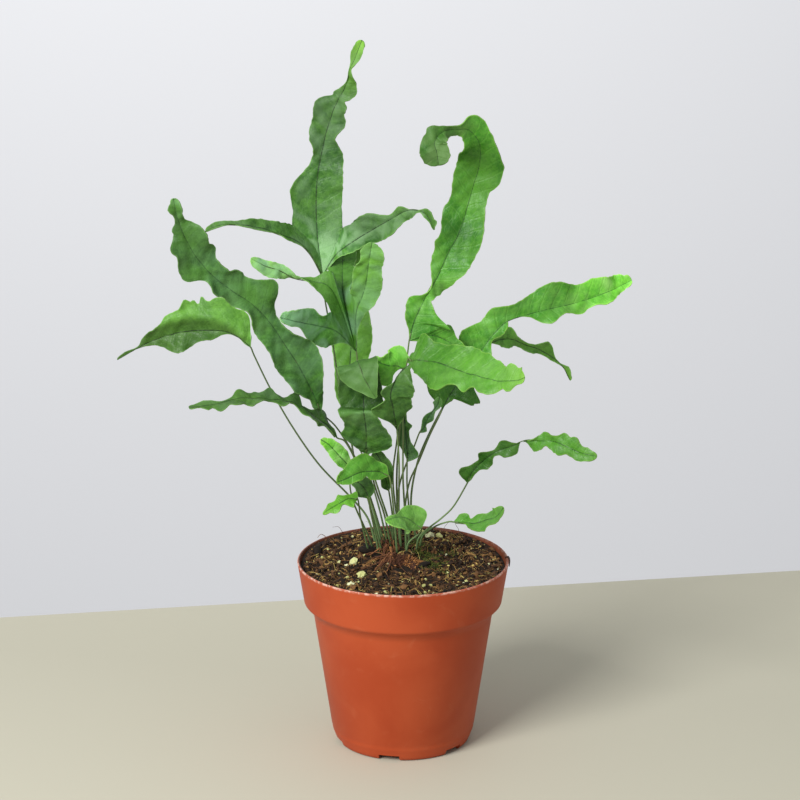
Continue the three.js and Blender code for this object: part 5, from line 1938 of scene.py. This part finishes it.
@dataclass
class Pot:
    """The plastic nursery pot.

    Args:
        steps: Sides of the round shell.
        foot_line: Height of the faint step above the foot.
        foot_step: How far the foot is set in below it.
    """

    steps: int = 180
    foot_line: float = 8.6
    foot_step: float = 0.22

    def profile(self) -> list[Span]:
        """Returns the shell's outline, up the outside and down the inside.

        Returns:
            Radius and height of each point.
        """
        slope = (SHOULDER_RADIUS - BODY_FOOT_RADIUS) / (SHOULDER - BODY_FOOT)
        at_line = BODY_FOOT_RADIUS + slope * (self.foot_line - BODY_FOOT)
        rim = RIM_RADIUS - 0.02
        return [
            (0, 0), (CHANNEL_INNER, 0), (CHANNEL_INNER + 0.7, 0.6), (CHANNEL_INNER + 1.5, FLOOR),
            (CHANNEL_OUTER, FLOOR), (CHANNEL_OUTER + 0.6, 0), (FOOT_RADIUS - 0.6, 0),
            (FOOT_RADIUS, 0.5), (FOOT_RADIUS + 0.5, 1.6), (FOOT_RADIUS + 0.9, 2.6),
            (BODY_FOOT_RADIUS - 1.0, 4.0), (BODY_FOOT_RADIUS - 0.45, 5.2),
            (BODY_FOOT_RADIUS - 0.1, BODY_FOOT),
            (at_line - self.foot_step, self.foot_line - 0.35), (at_line, self.foot_line),
            (SHOULDER_RADIUS - 0.05, SHOULDER - 0.4), (SHOULDER_RADIUS + 0.25, SHOULDER + 0.5),
            (SHOULDER_RADIUS + 1.0, SHOULDER + 2.4), (SHOULDER_RADIUS + 2.9, SHOULDER + 4.3),
            (BAND_BOTTOM_RADIUS - 0.75, BAND_BOTTOM - 1.15),
            (BAND_BOTTOM_RADIUS - 0.25, BAND_BOTTOM - 0.6), (BAND_BOTTOM_RADIUS, BAND_BOTTOM),
            (BAND_BOTTOM_RADIUS + 0.1, BAND_BOTTOM + 0.7),
            (rim - 0.75, POT_HEIGHT - 4.0), (rim - 0.22, POT_HEIGHT - 0.9),
            (rim - 0.16, POT_HEIGHT - 0.45), (rim - 0.4, POT_HEIGHT - 0.1), (rim - 0.8, POT_HEIGHT),
            (rim - WALL + 0.1, POT_HEIGHT - 0.2), (rim - WALL - 0.1, POT_HEIGHT - 0.7),
            (BAND_BOTTOM_RADIUS - WALL, BAND_BOTTOM + 0.6), (SHOULDER_RADIUS + 1, SHOULDER + 4),
            (SHOULDER_RADIUS - WALL, SHOULDER + 0.6), (BODY_FOOT_RADIUS - WALL, BODY_FOOT + 0.6),
            (CHANNEL_OUTER + 1, FLOOR + WALL), (0, FLOOR + WALL),
        ]

    def shell(self) -> bpy.types.Object:
        """Spins the outline into the shell and cuts the notches and drain holes.

        Returns:
            The shell, without its finish.
        """
        item = lathe("pot_fine", self.profile(), self.steps)
        for i in range(NOTCH_COUNT):
            angle = math.radians(NOTCH_TURN + 360 * i / NOTCH_COUNT)
            self.cut(item, self.notch(angle))
            self.cut(item, self.drain(angle))
        return item

    def notch(self, angle: float) -> bpy.types.Object:
        """Makes the cutter of one notch in the foot ring.

        Args:
            angle: The notch's place round the foot, in radians from the front.

        Returns:
            The cutter.
        """
        bpy.ops.mesh.primitive_cube_add(size=1)
        item = bpy.context.object
        item.scale = (NOTCH_WIDTH * MM, 8 * MM, 2 * NOTCH_HEIGHT * MM)
        item.location = (FOOT_RADIUS * MM * math.sin(angle), -FOOT_RADIUS * MM * math.cos(angle), 0)
        item.rotation_euler = (0, 0, angle)
        return item

    def drain(self, angle: float) -> bpy.types.Object:
        """Makes the cutter of one drain hole.

        Args:
            angle: The hole's place round the floor, in radians from the front.

        Returns:
            The cutter.
        """
        bpy.ops.mesh.primitive_cylinder_add(vertices=24, radius=DRAIN_RADIUS * MM, depth=4 * WALL * MM)
        item = bpy.context.object
        height = FLOOR + WALL / 2
        item.location = Vector((DRAIN_RING * math.sin(angle), -DRAIN_RING * math.cos(angle), height)) * MM
        return item

    def cut(self, item: bpy.types.Object, cutter: bpy.types.Object) -> None:
        """Cuts the cutter's shape out of the shell."""
        apply_modifier(item, "BOOLEAN", operation="DIFFERENCE", solver="EXACT", object=cutter)
        bpy.data.objects.remove(cutter)

    def build(self) -> None:
        """Builds and dresses the pot."""
        item = self.shell()
        dress(item, pot_material())
        smooth(item, 28)
        hand_over(item, "pot_plastic", "pot")


# ---- Soil and what lies on it --------------------------------------------------------


SOIL_LIFT = 1.2             # how much higher the finished soil lies than the CAD's
HEAP = 2.6                  # how much higher again it lies at the back
HEAP_START = -14.0          # y at which the heap begins to rise
HEAP_RUN = 50.0             # how far back it rises
HEAP_SKEW = 0.15            # how far its start lies further back, per unit to the right
HEAP_EASE = 0.1             # share by which it is lower at the right
CRUMBS = ((0.22, 3.0, 1.3), (0.6, 8.0, 0.8))    # scale, layer of the noise and height
CRUMB_EDGE = 50.5           # radius at which the crumbs end
CRUMB_FADE = 3.0
BED_TONE = 0.13
FIBRE_POINTS = 6            # points along a fibre or root strand


def soil_height(x: float, y: float) -> float:
    """Returns the CAD soil's height: level at the wall, a low crown, and lumps all over.

    Args:
        x: To the right of the pot's axis.
        y: Behind it.

    Returns:
        The height in millimetres.
    """
    far = math.hypot(x - CROWN_X, y - CROWN_Y) / CROWN_SPREAD
    clods = math.sin(0.31 * x + 1.3) * math.cos(0.27 * y) + 0.6 * math.sin(0.53 * x - 0.47 * y)
    inward = (CLOD_FADE[1] - math.hypot(x, y)) / (CLOD_FADE[1] - CLOD_FADE[0])
    return SOIL_EDGE + CROWN_RISE * math.exp(-far * far) + CLOD * clods * min(max(inward, 0), 1)


def crumbs(x: float, y: float) -> float:
    """Returns the height of the fine crumbs on the soil."""
    return sum(high * noise.noise(Vector((x * scale, y * scale, layer))) for scale, layer, high in CRUMBS)


def heap(x: float, y: float) -> float:
    """Returns how much higher the soil lies than the CAD's, most of all at the back left."""
    back = min(max((y - HEAP_START - HEAP_SKEW * x) / HEAP_RUN, 0), 1)
    return SOIL_LIFT + HEAP * back * back * (3 - 2 * back) * (1 - HEAP_EASE * min(max(x / 40, 0), 1))


def surface(x: float, y: float) -> float:
    """Returns the finished soil's height."""
    inward = min(max((CRUMB_EDGE - math.hypot(x, y)) / CRUMB_FADE, 0), 1)
    return soil_height(x, y) + heap(x, y) + crumbs(x, y) * inward


@dataclass(frozen=True)
class Grain:
    """A kind of small loose thing on the soil.

    Args:
        name: The piece's name.
        count: How many lie on the soil.
        size: Smallest and largest half length in millimetres.
        flat: Height and width as shares of the length.
        tone: Lowest and highest tone on its material's ramp.
        sink: How deep it lies, as a share of its size.
        detail: Subdivisions of the ball it is shaped from.
        rough: How uneven its surface is.
    """

    name: str
    count: int
    size: Span
    flat: Span
    tone: Span
    sink: float
    detail: int = 1
    rough: float = 0.25


GRAINS = (
    Grain("soil_crumbs", 2600, (0.35, 1.7), (0.75, 0.6), (0.03, 0.68), 0.2, rough=0.32),
    Grain("bark_chips", 240, (1.0, 3.2), (0.45, 0.25), (0.35, 0.9), 0.25, rough=0.3),
    Grain("tan_crumbs", 460, (0.3, 1.2), (0.7, 0.6), (0.68, 1.0), 0.2),
)
PERLITE = Grain("perlite", 40, (0.5, 1.3), (0.8, 0.7), (0.1, 0.8), 0.25, detail=2, rough=0.3)
FLECKS = Grain("pale_flecks", 330, (0.25, 0.95), (0.8, 0.6), (0.0, 0.75), 0.15, rough=0.35)
LUMPS = Grain("dark_lumps", 7, (2.2, 3.5), (0.7, 0.4), (0.02, 0.1), 0.3, detail=3, rough=0.03)
PERLITE_SPOTS = (                               # x, y and half length
    (-20.7, -16.1, 2.6), (-24.5, -4.0, 2.1), (-28.0, -4.5, 1.5), (-25.5, -27.9, 1.9),
    (10.2, -33.6, 1.5), (13.7, 33.4, 2.6), (18.5, 37.0, 2.1), (24.6, -17.8, 1.0),
    (-8.8, -39.2, 1.4), (-31.9, -0.1, 1.2), (9.5, 35.5, 1.8), (-13.0, -41.0, 1.1),
    (13.5, -31.0, 1.1), (22.0, 30.0, 1.3), (40.0, 8.0, 1.2),
)
LUMP_SPOTS = (
    (-17.5, 6.0, 5.2), (-13.0, 3.0, 3.6), (3.0, -10.5, 5.0), (9.5, -9.0, 4.4), (-2.5, -13.0, 3.4),
)
MOSS_SPOTS = (                                  # x, y, spread and count
    (11.0, 4.0, 3.4, 240), (15.0, -6.0, 3.6, 180), (21.0, 10.0, 3.0, 90), (6.0, 15.0, 2.2, 60),
)


@dataclass
class Soil:
    """The potting mix: its bed, grains, fibres, perlite and moss.

    Args:
        steps: Sides of the bed.
        rings: Rings of points on its top.
        edge: Radius within which loose things lie.
        dice: Draws the places and sizes of loose things.
        earth: The material of the bed, the crumbs and the fibres.
    """

    steps: int = 200
    rings: int = 66
    edge: float = 49.4
    dice: random.Random = field(default_factory=lambda: random.Random(11))
    earth: bpy.types.Material | None = None

    def bed(self) -> None:
        """Builds the bed, whose top is shaped to lumps and crumbs."""
        inner = WALL + GAP
        slope = (RIM_RADIUS - BAND_BOTTOM_RADIUS) / (POT_HEIGHT - BAND_BOTTOM)
        top = BAND_BOTTOM_RADIUS + slope * (SOIL_EDGE - BAND_BOTTOM) - inner
        profile = [
            (0, FLOOR + inner), (CHANNEL_OUTER + 0.6, FLOOR + inner),
            (BODY_FOOT_RADIUS - inner, BODY_FOOT + 0.9), (SHOULDER_RADIUS - inner, SHOULDER + 0.9),
            (SHOULDER_RADIUS + 0.6, SHOULDER + 4.6), (BAND_BOTTOM_RADIUS - inner, BAND_BOTTOM + 1),
        ]
        profile += [(top * (1 - i / self.rings), SOIL_EDGE) for i in range(self.rings + 1)]
        item = lathe("soil_bed", profile, self.steps)
        for vertex in item.data.vertices:
            if abs(vertex.co.z / MM - SOIL_EDGE) < 1e-3:
                rise = surface(vertex.co.x / MM, vertex.co.y / MM) - SOIL_EDGE
                share = math.hypot(vertex.co.x, vertex.co.y) / (top * MM)
                vertex.co.z += rise * MM
                vertex.co.xy *= 1 + slope * rise * share**8 / top
        tone_points(item, [BED_TONE])
        dress(item, self.earth)
        smooth(item, 80)
        hand_over(item, "potting_soil", "soil")

    def spot(self, reach: float) -> Span:
        """Returns a random place on the soil within reach of its middle.

        Args:
            reach: Radius of the round area.

        Returns:
            Its x and y.
        """
        radius = reach * math.sqrt(self.dice.random())
        angle = self.dice.uniform(0, 2 * math.pi)
        return radius * math.cos(angle), radius * math.sin(angle)

    def ball(self, detail: int) -> Line:
        """Returns the points and faces of a ball primitive.

        Args:
            detail: Its number of subdivisions, from 1.

        Returns:
            The points, and three point numbers for each face.
        """
        bpy.ops.mesh.primitive_ico_sphere_add(subdivisions=detail, radius=1)
        model = bpy.context.object
        points = np.array([vertex.co[:] for vertex in model.data.vertices])
        faces = np.array([face.vertices[:] for face in model.data.polygons])
        bpy.data.objects.remove(model)
        return points, faces

    def shape(self, grain: Grain, ball: np.ndarray, x: float, y: float, half: float | None) -> np.ndarray:
        """Returns the ball's points roughened, flattened, tilted and laid down at x, y.

        Args:
            grain: The kind of grain.
            ball: Points of a round ball of radius 1.
            x: The grain's place.
            y: The grain's place.
            half: Half its length, or None to draw one.

        Returns:
            The grain's points in millimetres.
        """
        half = half or grain.size[0] + (grain.size[1] - grain.size[0]) * self.dice.random() ** 2.2
        width, height = (share * self.dice.uniform(0.7, 1.2) for share in grain.flat)
        bumps = np.array([1 + grain.rough * self.dice.uniform(-1, 1) for _ in ball])
        points = ball * bumps[:, None] * half * np.array([1, width, height])
        tilt = [self.dice.gauss(0, 0.35), self.dice.gauss(0, 0.35), self.dice.uniform(0, 6.3)]
        turn = np.array(Euler(tilt).to_matrix())
        lift = half * height * (1 - 2 * grain.sink)
        return points @ turn.T + np.array([x, y, surface(x, y) + lift])

    def scatter(self, grain: Grain, material: bpy.types.Material, spots: Sequence[Row] = ()) -> None:
        """Strews copies of one roughened ball over the soil as one piece.

        Args:
            grain: The kind of grain.
            material: Its material.
            spots: Places x, y and half length of grains that the photograph shows.
        """
        ball, faces = self.ball(grain.detail)
        wanted = [*spots, *((*self.spot(self.edge), None) for _ in range(grain.count))]
        points, tones = [], []
        for place in wanted:
            points.append(self.shape(grain, ball, *place))
            tones.append(self.dice.uniform(*grain.tone))
        faces = faces + np.arange(len(wanted))[:, None, None] * len(ball)
        mesh = bpy.data.meshes.new(grain.name)
        mesh.from_pydata((np.concatenate(points) * MM).tolist(), [], faces.reshape(-1, 3).tolist())
        item = bpy.data.objects.new(grain.name, mesh)
        bpy.context.collection.objects.link(item)
        tone_points(item, np.repeat(tones, len(ball)))
        dress(item, material)
        hand_over(item, "potting_soil")

    def fibre(self, length: Span) -> list[Row]:
        """Returns points along a curved fibre that arches over the soil and ends at its edge.

        Args:
            length: Shortest and longest.

        Returns:
            The points, fewer where it meets the edge.
        """
        x, y = self.spot(self.edge)
        heading = self.dice.uniform(0, 2 * math.pi)
        bend = self.dice.gauss(0, 0.5)
        last = FIBRE_POINTS - 1
        step = self.dice.uniform(*length) / last
        arch = self.dice.uniform(0.1, 1.1)
        path = []
        for i in range(FIBRE_POINTS):
            if math.hypot(x, y) > self.edge:
                break
            path.append((x, y, surface(x, y) + 0.15 + arch * math.sin(math.pi * i / last)))
            heading += bend
            x += step * math.cos(heading)
            y += step * math.sin(heading)
        return path

    def strands(self, name: str, count: int, length: Span, radius: Span, tone: Span) -> None:
        """Strews thin curved fibres over the soil as one piece.

        Args:
            name: The piece's name.
            count: How many fibres.
            length: Shortest and longest.
            radius: Thinnest and thickest.
            tone: Lowest and highest tone on the soil's ramp.
        """
        lines, tones = [], []
        for _ in range(count):
            path = self.fibre(length)
            if len(path) < 3:
                continue
            thick = self.dice.uniform(*radius)
            lines.append((np.array(path), thick * np.linspace(1, 0.5, len(path))))
            tones.append(self.dice.uniform(*tone))
        item = tubes(name, lines, sides=4)
        tone_tubes(item, lines, tones, sides=4)
        dress(item, self.earth)
        hand_over(item, "potting_soil")

    def tuft(self, name: str, material: bpy.types.Material, spots: Sequence[Row]) -> None:
        """Builds moss as short upright sprigs round each spot of x, y, spread and count.

        Args:
            name: The piece's name.
            material: Its material.
            spots: Rows of x, y, spread and count.
        """
        lines, tones = [], []
        for x0, y0, spread, count in spots:
            for _ in range(count):
                x, y = self.dice.gauss(x0, spread), self.dice.gauss(y0, spread)
                if math.hypot(x, y) > self.edge:
                    continue
                tall = self.dice.uniform(0.8, 2.4)
                lean = np.array([self.dice.gauss(0, 0.5), self.dice.gauss(0, 0.5), 1.0])
                base = np.array([x, y, surface(x, y)])
                tip = base + tall * lean * np.array([1.3, 1.3, 0.9])
                lines.append((np.array([base, base + 0.5 * tall * lean, tip]), (0.14, 0.2, 0.05)))
                tones.append(self.dice.uniform(0.1, 1.0))
        item = tubes(name, lines, sides=4)
        tone_tubes(item, lines, tones, sides=4)
        dress(item, material)
        hand_over(item, "potting_soil")

    def build(self) -> None:
        """Builds and dresses the soil and everything that lies on it."""
        self.earth = earth_material("potting_mix", EARTH, 520, 0.5)
        perlite = earth_material("perlite", PERLITE_RAMP, 700, 0.25)
        moss = earth_material("moss", MOSS_RAMP, 600, 0.3)
        self.bed()
        for grain in GRAINS:
            self.scatter(grain, self.earth)
        self.scatter(PERLITE, perlite, PERLITE_SPOTS)
        self.scatter(FLECKS, perlite)
        self.scatter(LUMPS, self.earth, LUMP_SPOTS)
        self.strands("soil_fibres", 1400, (3, 10), (0.1, 0.24), (0.2, 0.86))
        self.strands("soil_pale_fibres", 240, (4, 14), (0.1, 0.2), (0.8, 1.0))
        self.tuft("moss_tuft", moss, MOSS_SPOTS)


# ---- Rhizome -------------------------------------------------------------------------


@dataclass(frozen=True)
class Fuzz:
    """A kind of scale or hair that stands off the rhizome.

    Args:
        name: The object's name.
        count: How many.
        length: Shortest and longest.
        radius: Thickness at the foot.
        tone: Lowest and highest tone.
        stretch: The stretch of the stem they grow on, as shares of its length.
    """

    name: str
    count: int
    length: Span
    radius: float
    tone: Span
    stretch: Span


FUZZ = (
    Fuzz("scales", 900, (0.8, 2.2), 0.32, (0.05, 0.5), (0.0, 1.0)),
    Fuzz("hairs", 500, (1.5, 3.0), 0.09, (0.2, 0.75), (0.05, 1.0)),
    Fuzz("tip", 420, (1.0, 2.8), 0.2, (0.75, 1.0), (0.62, 0.95)),
)
STEM_TONE = 0.12
ROOT_COUNT = 50             # loose strands in the root mass
ROOTS = (                   # points and thickness of the single roots, and of fibres over the lip
    (((-6, -6, 96), (-11, -8, 95.5), (-17, -9, 93.5), (-22, -12, 92)), 0.35),
    (((-5, -3, 97), (-9, -2, 97), (-14, -4, 95.5), (-19, -7, 93.5)), 0.3),
    (((-3, -7, 96), (-6, -11, 95), (-8, -16, 93), (-7, -21, 91.5)), 0.3),
    (((0, -6, 97), (-2, -10, 96), (0, -15, 94), (4, -19, 92)), 0.25),
    (((-8, -4, 96), (-12, 0, 97.5), (-18, 1, 96.5), (-24, -2, 93)), 0.28),
    (((-36, 33, 90), (-39, 34.5, 93.5), (-41.5, 33.5, 95.6), (-43.5, 31, 94.6)), 0.22),
    (((-30, 40, 90), (-31, 41.5, 94), (-33, 42.5, 96.5), (-36, 42, 96.5)), 0.16),
    (((20, 46, 90), (21, 47.5, 94), (23, 48.5, 96.5), (25, 48, 98)), 0.14),
    (((27, 43, 90), (28.5, 44, 94), (27, 45.5, 97), (29, 46, 98.5)), 0.13),
    (((-15, 44, 90), (-16, 47, 93.5), (-17, 48, 96.5), (-19, 47, 98)), 0.13),
)
FLECK = ((51.4, 4, 93.4), (52.5, 2, 94.4), (52.9, -3, 94.1), (52.6, -7, 92.8))   # of soil on the lip
FLECK_RADIUS = 0.7
FLECK_TONE = 0.0


@dataclass
class Rhizome:
    """The scaly creeping stem with its roots.

    Args:
        radius: The stem's radius, without its scales.
        dice: Draws the places of scales, hairs and roots.
        bark: The material of them all.
    """

    radius: float = 3.3
    dice: random.Random = field(default_factory=lambda: random.Random(5))
    bark: bpy.types.Material | None = None

    def stem(self) -> bpy.types.Object:
        """Builds the stem's core, lumpy and tapered at both ends.

        Returns:
            The core, as the object to which the scales are joined.
        """
        path = np.array(RHIZOME_PATH, float)
        u = np.linspace(0, len(path) - 1, 50)
        share = u / u[-1]
        lumps = 1 + 0.14 * np.sin(19 * share) + 0.09 * np.sin(43 * share)
        radii = self.radius * np.clip(np.sin(math.pi * share) * 4, 0.25, 1) * lumps
        item = tubes("rhizome_fine", [(between(path, u), radii)], sides=20)
        tone_points(item, [STEM_TONE])
        return item

    def hair(self, fuzz: Fuzz, path: np.ndarray) -> Line:
        """Returns the points and radii of one scale or hair on the stem's upper side.

        Args:
            fuzz: Its kind.
            path: The stem's path.

        Returns:
            Its points and radii.
        """
        u = self.dice.uniform(*fuzz.stretch) * (len(path) - 1)
        here, ahead = between(path, np.array([u, min(u + 0.05, len(path) - 1)]))
        along = unit(ahead - here + 1e-6)
        around = self.dice.uniform(-0.25, math.pi + 0.25)
        side = unit(np.cross(along, [0, 0, 1]))
        out = math.cos(around) * side + math.sin(around) * np.array([0, 0, 1])
        reach = self.dice.uniform(*fuzz.length)
        foot = here + out * self.radius * 0.85
        forward = self.dice.uniform(0.2, 1.3) * along
        stray = 0.4 * np.array([self.dice.gauss(0, 1) for _ in range(3)])
        tip = foot + reach * unit(out + forward + stray)
        radii = (fuzz.radius, fuzz.radius, fuzz.radius * 0.2)
        return np.array([foot, (foot + tip) / 2 + 0.2 * out, tip]), radii

    def fur(self, fuzz: Fuzz) -> bpy.types.Object:
        """Builds every scale or hair of one kind.

        Args:
            fuzz: The kind.

        Returns:
            One mesh object that holds them all.
        """
        path = np.array(RHIZOME_PATH, float)
        lines, tones = [], []
        for _ in range(fuzz.count):
            lines.append(self.hair(fuzz, path))
            tones.append(self.dice.uniform(*fuzz.tone))
        item = tubes(fuzz.name, lines, sides=4)
        tone_tubes(item, lines, tones, sides=4)
        return item

    def root(self, points: Sequence[Row], radius: float) -> Line:
        """Returns a root's smooth path and radii from a few points.

        Args:
            points: A few places along it.
            radius: Its radius at the start.

        Returns:
            Its points and radii.
        """
        path = np.array(points, float)
        u = np.linspace(0, len(path) - 1, 8 * len(path))
        return between(path, u), np.linspace(radius, 0.4 * radius, len(u))

    def strand(self) -> Line:
        """Returns one wiry strand of the root mass, which falls to the left and the front.

        Returns:
            Its points and radii.
        """
        heading = math.radians(self.dice.uniform(150, 300))
        x, y = self.dice.gauss(-7, 2.0), self.dice.uniform(-14, 12)
        step = self.dice.uniform(0.4, 2.4)
        high = self.dice.uniform(1.5, 6.5)
        points = []
        for i in range(FIBRE_POINTS):
            fall = (1 - i / (FIBRE_POINTS - 1)) ** 1.5
            points.append((x, y, surface(x, y) + high * fall + 0.2))
            heading += self.dice.gauss(0, 0.35)
            x += step * math.cos(heading)
            y += step * math.sin(heading)
        return self.root(points, self.dice.uniform(0.16, 0.42))

    def roots(self) -> None:
        """Builds wiry roots that run over the soil from the stem, and fibres over the lip."""
        lines = [self.root(points, radius) for points, radius in ROOTS]
        lines += [self.strand() for _ in range(ROOT_COUNT)]
        tones = [self.dice.uniform(0.2, 0.85) for _ in lines]
        lines.append(self.root(FLECK, FLECK_RADIUS))
        tones.append(FLECK_TONE)
        item = tubes("surface_roots", lines, sides=6)
        tone_tubes(item, lines, tones, sides=6)
        dress(item, self.bark)
        smooth(item, 60)
        hand_over(item, "rhizome_bark")

    def build(self) -> None:
        """Builds and dresses the stem with its scales, hairs and fuzzy growing tip."""
        self.bark = earth_material("rhizome_scales", RHIZOME_RAMP, 600, 0.4)
        item = join(self.stem(), *[self.fur(fuzz) for fuzz in FUZZ])
        dress(item, self.bark)
        smooth(item, 40)
        hand_over(item, "rhizome_bark", "rhizome")
        self.roots()


# ---- Stage ---------------------------------------------------------------------------


@dataclass
class Stage:
    """Floor, backdrop, lamps and camera, which are no part of the object.

    Args:
        eye: The camera's place in millimetres.
        pitch: Degrees by which it looks down.
        lens: Its focal length in millimetres.
    """

    eye: Row = (-1.5, -1438.2, 602.7)
    pitch: float = 16.5
    lens: float = 137.7

    def plane(
        self, name: str, scale: Row, turn: Row, place: Row, colour: Colour, roughness: float,
    ) -> bpy.types.Object:
        """Adds a plain rectangle, turned by degrees about each axis and placed in metres.

        Args:
            name: Name of the object and its material.
            scale: Its size along each axis.
            turn: Its turn about each axis.
            place: Its middle.
            colour: Its colour.
            roughness: Its roughness.

        Returns:
            The rectangle.
        """
        bpy.ops.mesh.primitive_plane_add(size=1)
        item = bpy.context.object
        item.name = name
        item.scale = scale
        item.rotation_euler = [math.radians(angle) for angle in turn]
        item.location = place
        shader = Shader(name, roughness, 0.15)
        shader.colour(colour)
        dress(item, shader.material)
        return item

    def ground(self) -> None:
        """Builds a pale table whose far edge is seen, and a pale wall behind it."""
        table = self.plane(
            "stage_table", (4.0, 3.0, 1.0), (0, 0, 9.7), (0.252, -1.271, -0.0004),
            (0.540, 0.518, 0.412), 0.8,
        )
        wall = self.plane(
            "stage_wall", (12.0, 8.0, 1.0), (90, 0, 0), (0, 2.4, 0.5), (0.800, 0.800, 0.815), 0.9,
        )

    def lamp(self, name: str, place: Row, aim: Row, size: float, power: float) -> None:
        """Adds a square area lamp that points at aim.

        Args:
            name: The lamp's name.
            place: Where it is, in metres.
            aim: The point it shines at.
            size: Its side in metres.
            power: Its power in watts.
        """
        light = bpy.data.lights.new(name, "AREA")
        light.size = size
        light.energy = power
        item = bpy.data.objects.new(name, light)
        item.location = place
        item.rotation_euler = (Vector(aim) - Vector(place)).to_track_quat("-Z", "Y").to_euler()
        bpy.context.collection.objects.link(item)

    def lights(self) -> None:
        """Lights the scene softly from the upper left, with a pale sky as fill."""
        self.lamp("key", (-0.85, -1.15, 1.05), (0, 0, 0.16), 0.75, 34)
        self.lamp("wall_light", (-0.45, 0.9, 1.0), (-0.15, 2.4, -0.1), 1.0, 17)
        world = bpy.data.worlds.new("sky")
        world.use_nodes = True
        sky = world.node_tree.nodes["Background"]
        sky.inputs["Color"].default_value = (0.95, 0.97, 1.0, 1.0)
        sky.inputs["Strength"].default_value = 0.5
        bpy.context.scene.world = world

    def camera(self) -> None:
        """Places the camera as in the photograph."""
        data = bpy.data.cameras.new("camera")
        data.lens = self.lens
        data.sensor_width = 36.0
        item = bpy.data.objects.new("camera", data)
        item.location = Vector(self.eye) * MM
        item.rotation_euler = (math.radians(90 - self.pitch), 0, 0)
        bpy.context.collection.objects.link(item)
        bpy.context.scene.camera = item

    def build(self) -> None:
        """Sets the stage."""
        self.ground()
        self.lights()
        self.camera()
        bpy.context.scene.view_settings.view_transform = "Standard"


def main() -> None:
    """Builds every piece in turn."""
    logging.basicConfig(level=logging.INFO, format="%(name)s %(message)s")
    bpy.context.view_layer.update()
    Pot().build()
    Soil().build()
    Rhizome().build()
    fronds = FrondBuilder()
    fronds.make_materials()
    for frond in FRONDS:
        fronds.build(frond)
    Stage().build()
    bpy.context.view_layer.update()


if __name__ == "__main__":
    main()
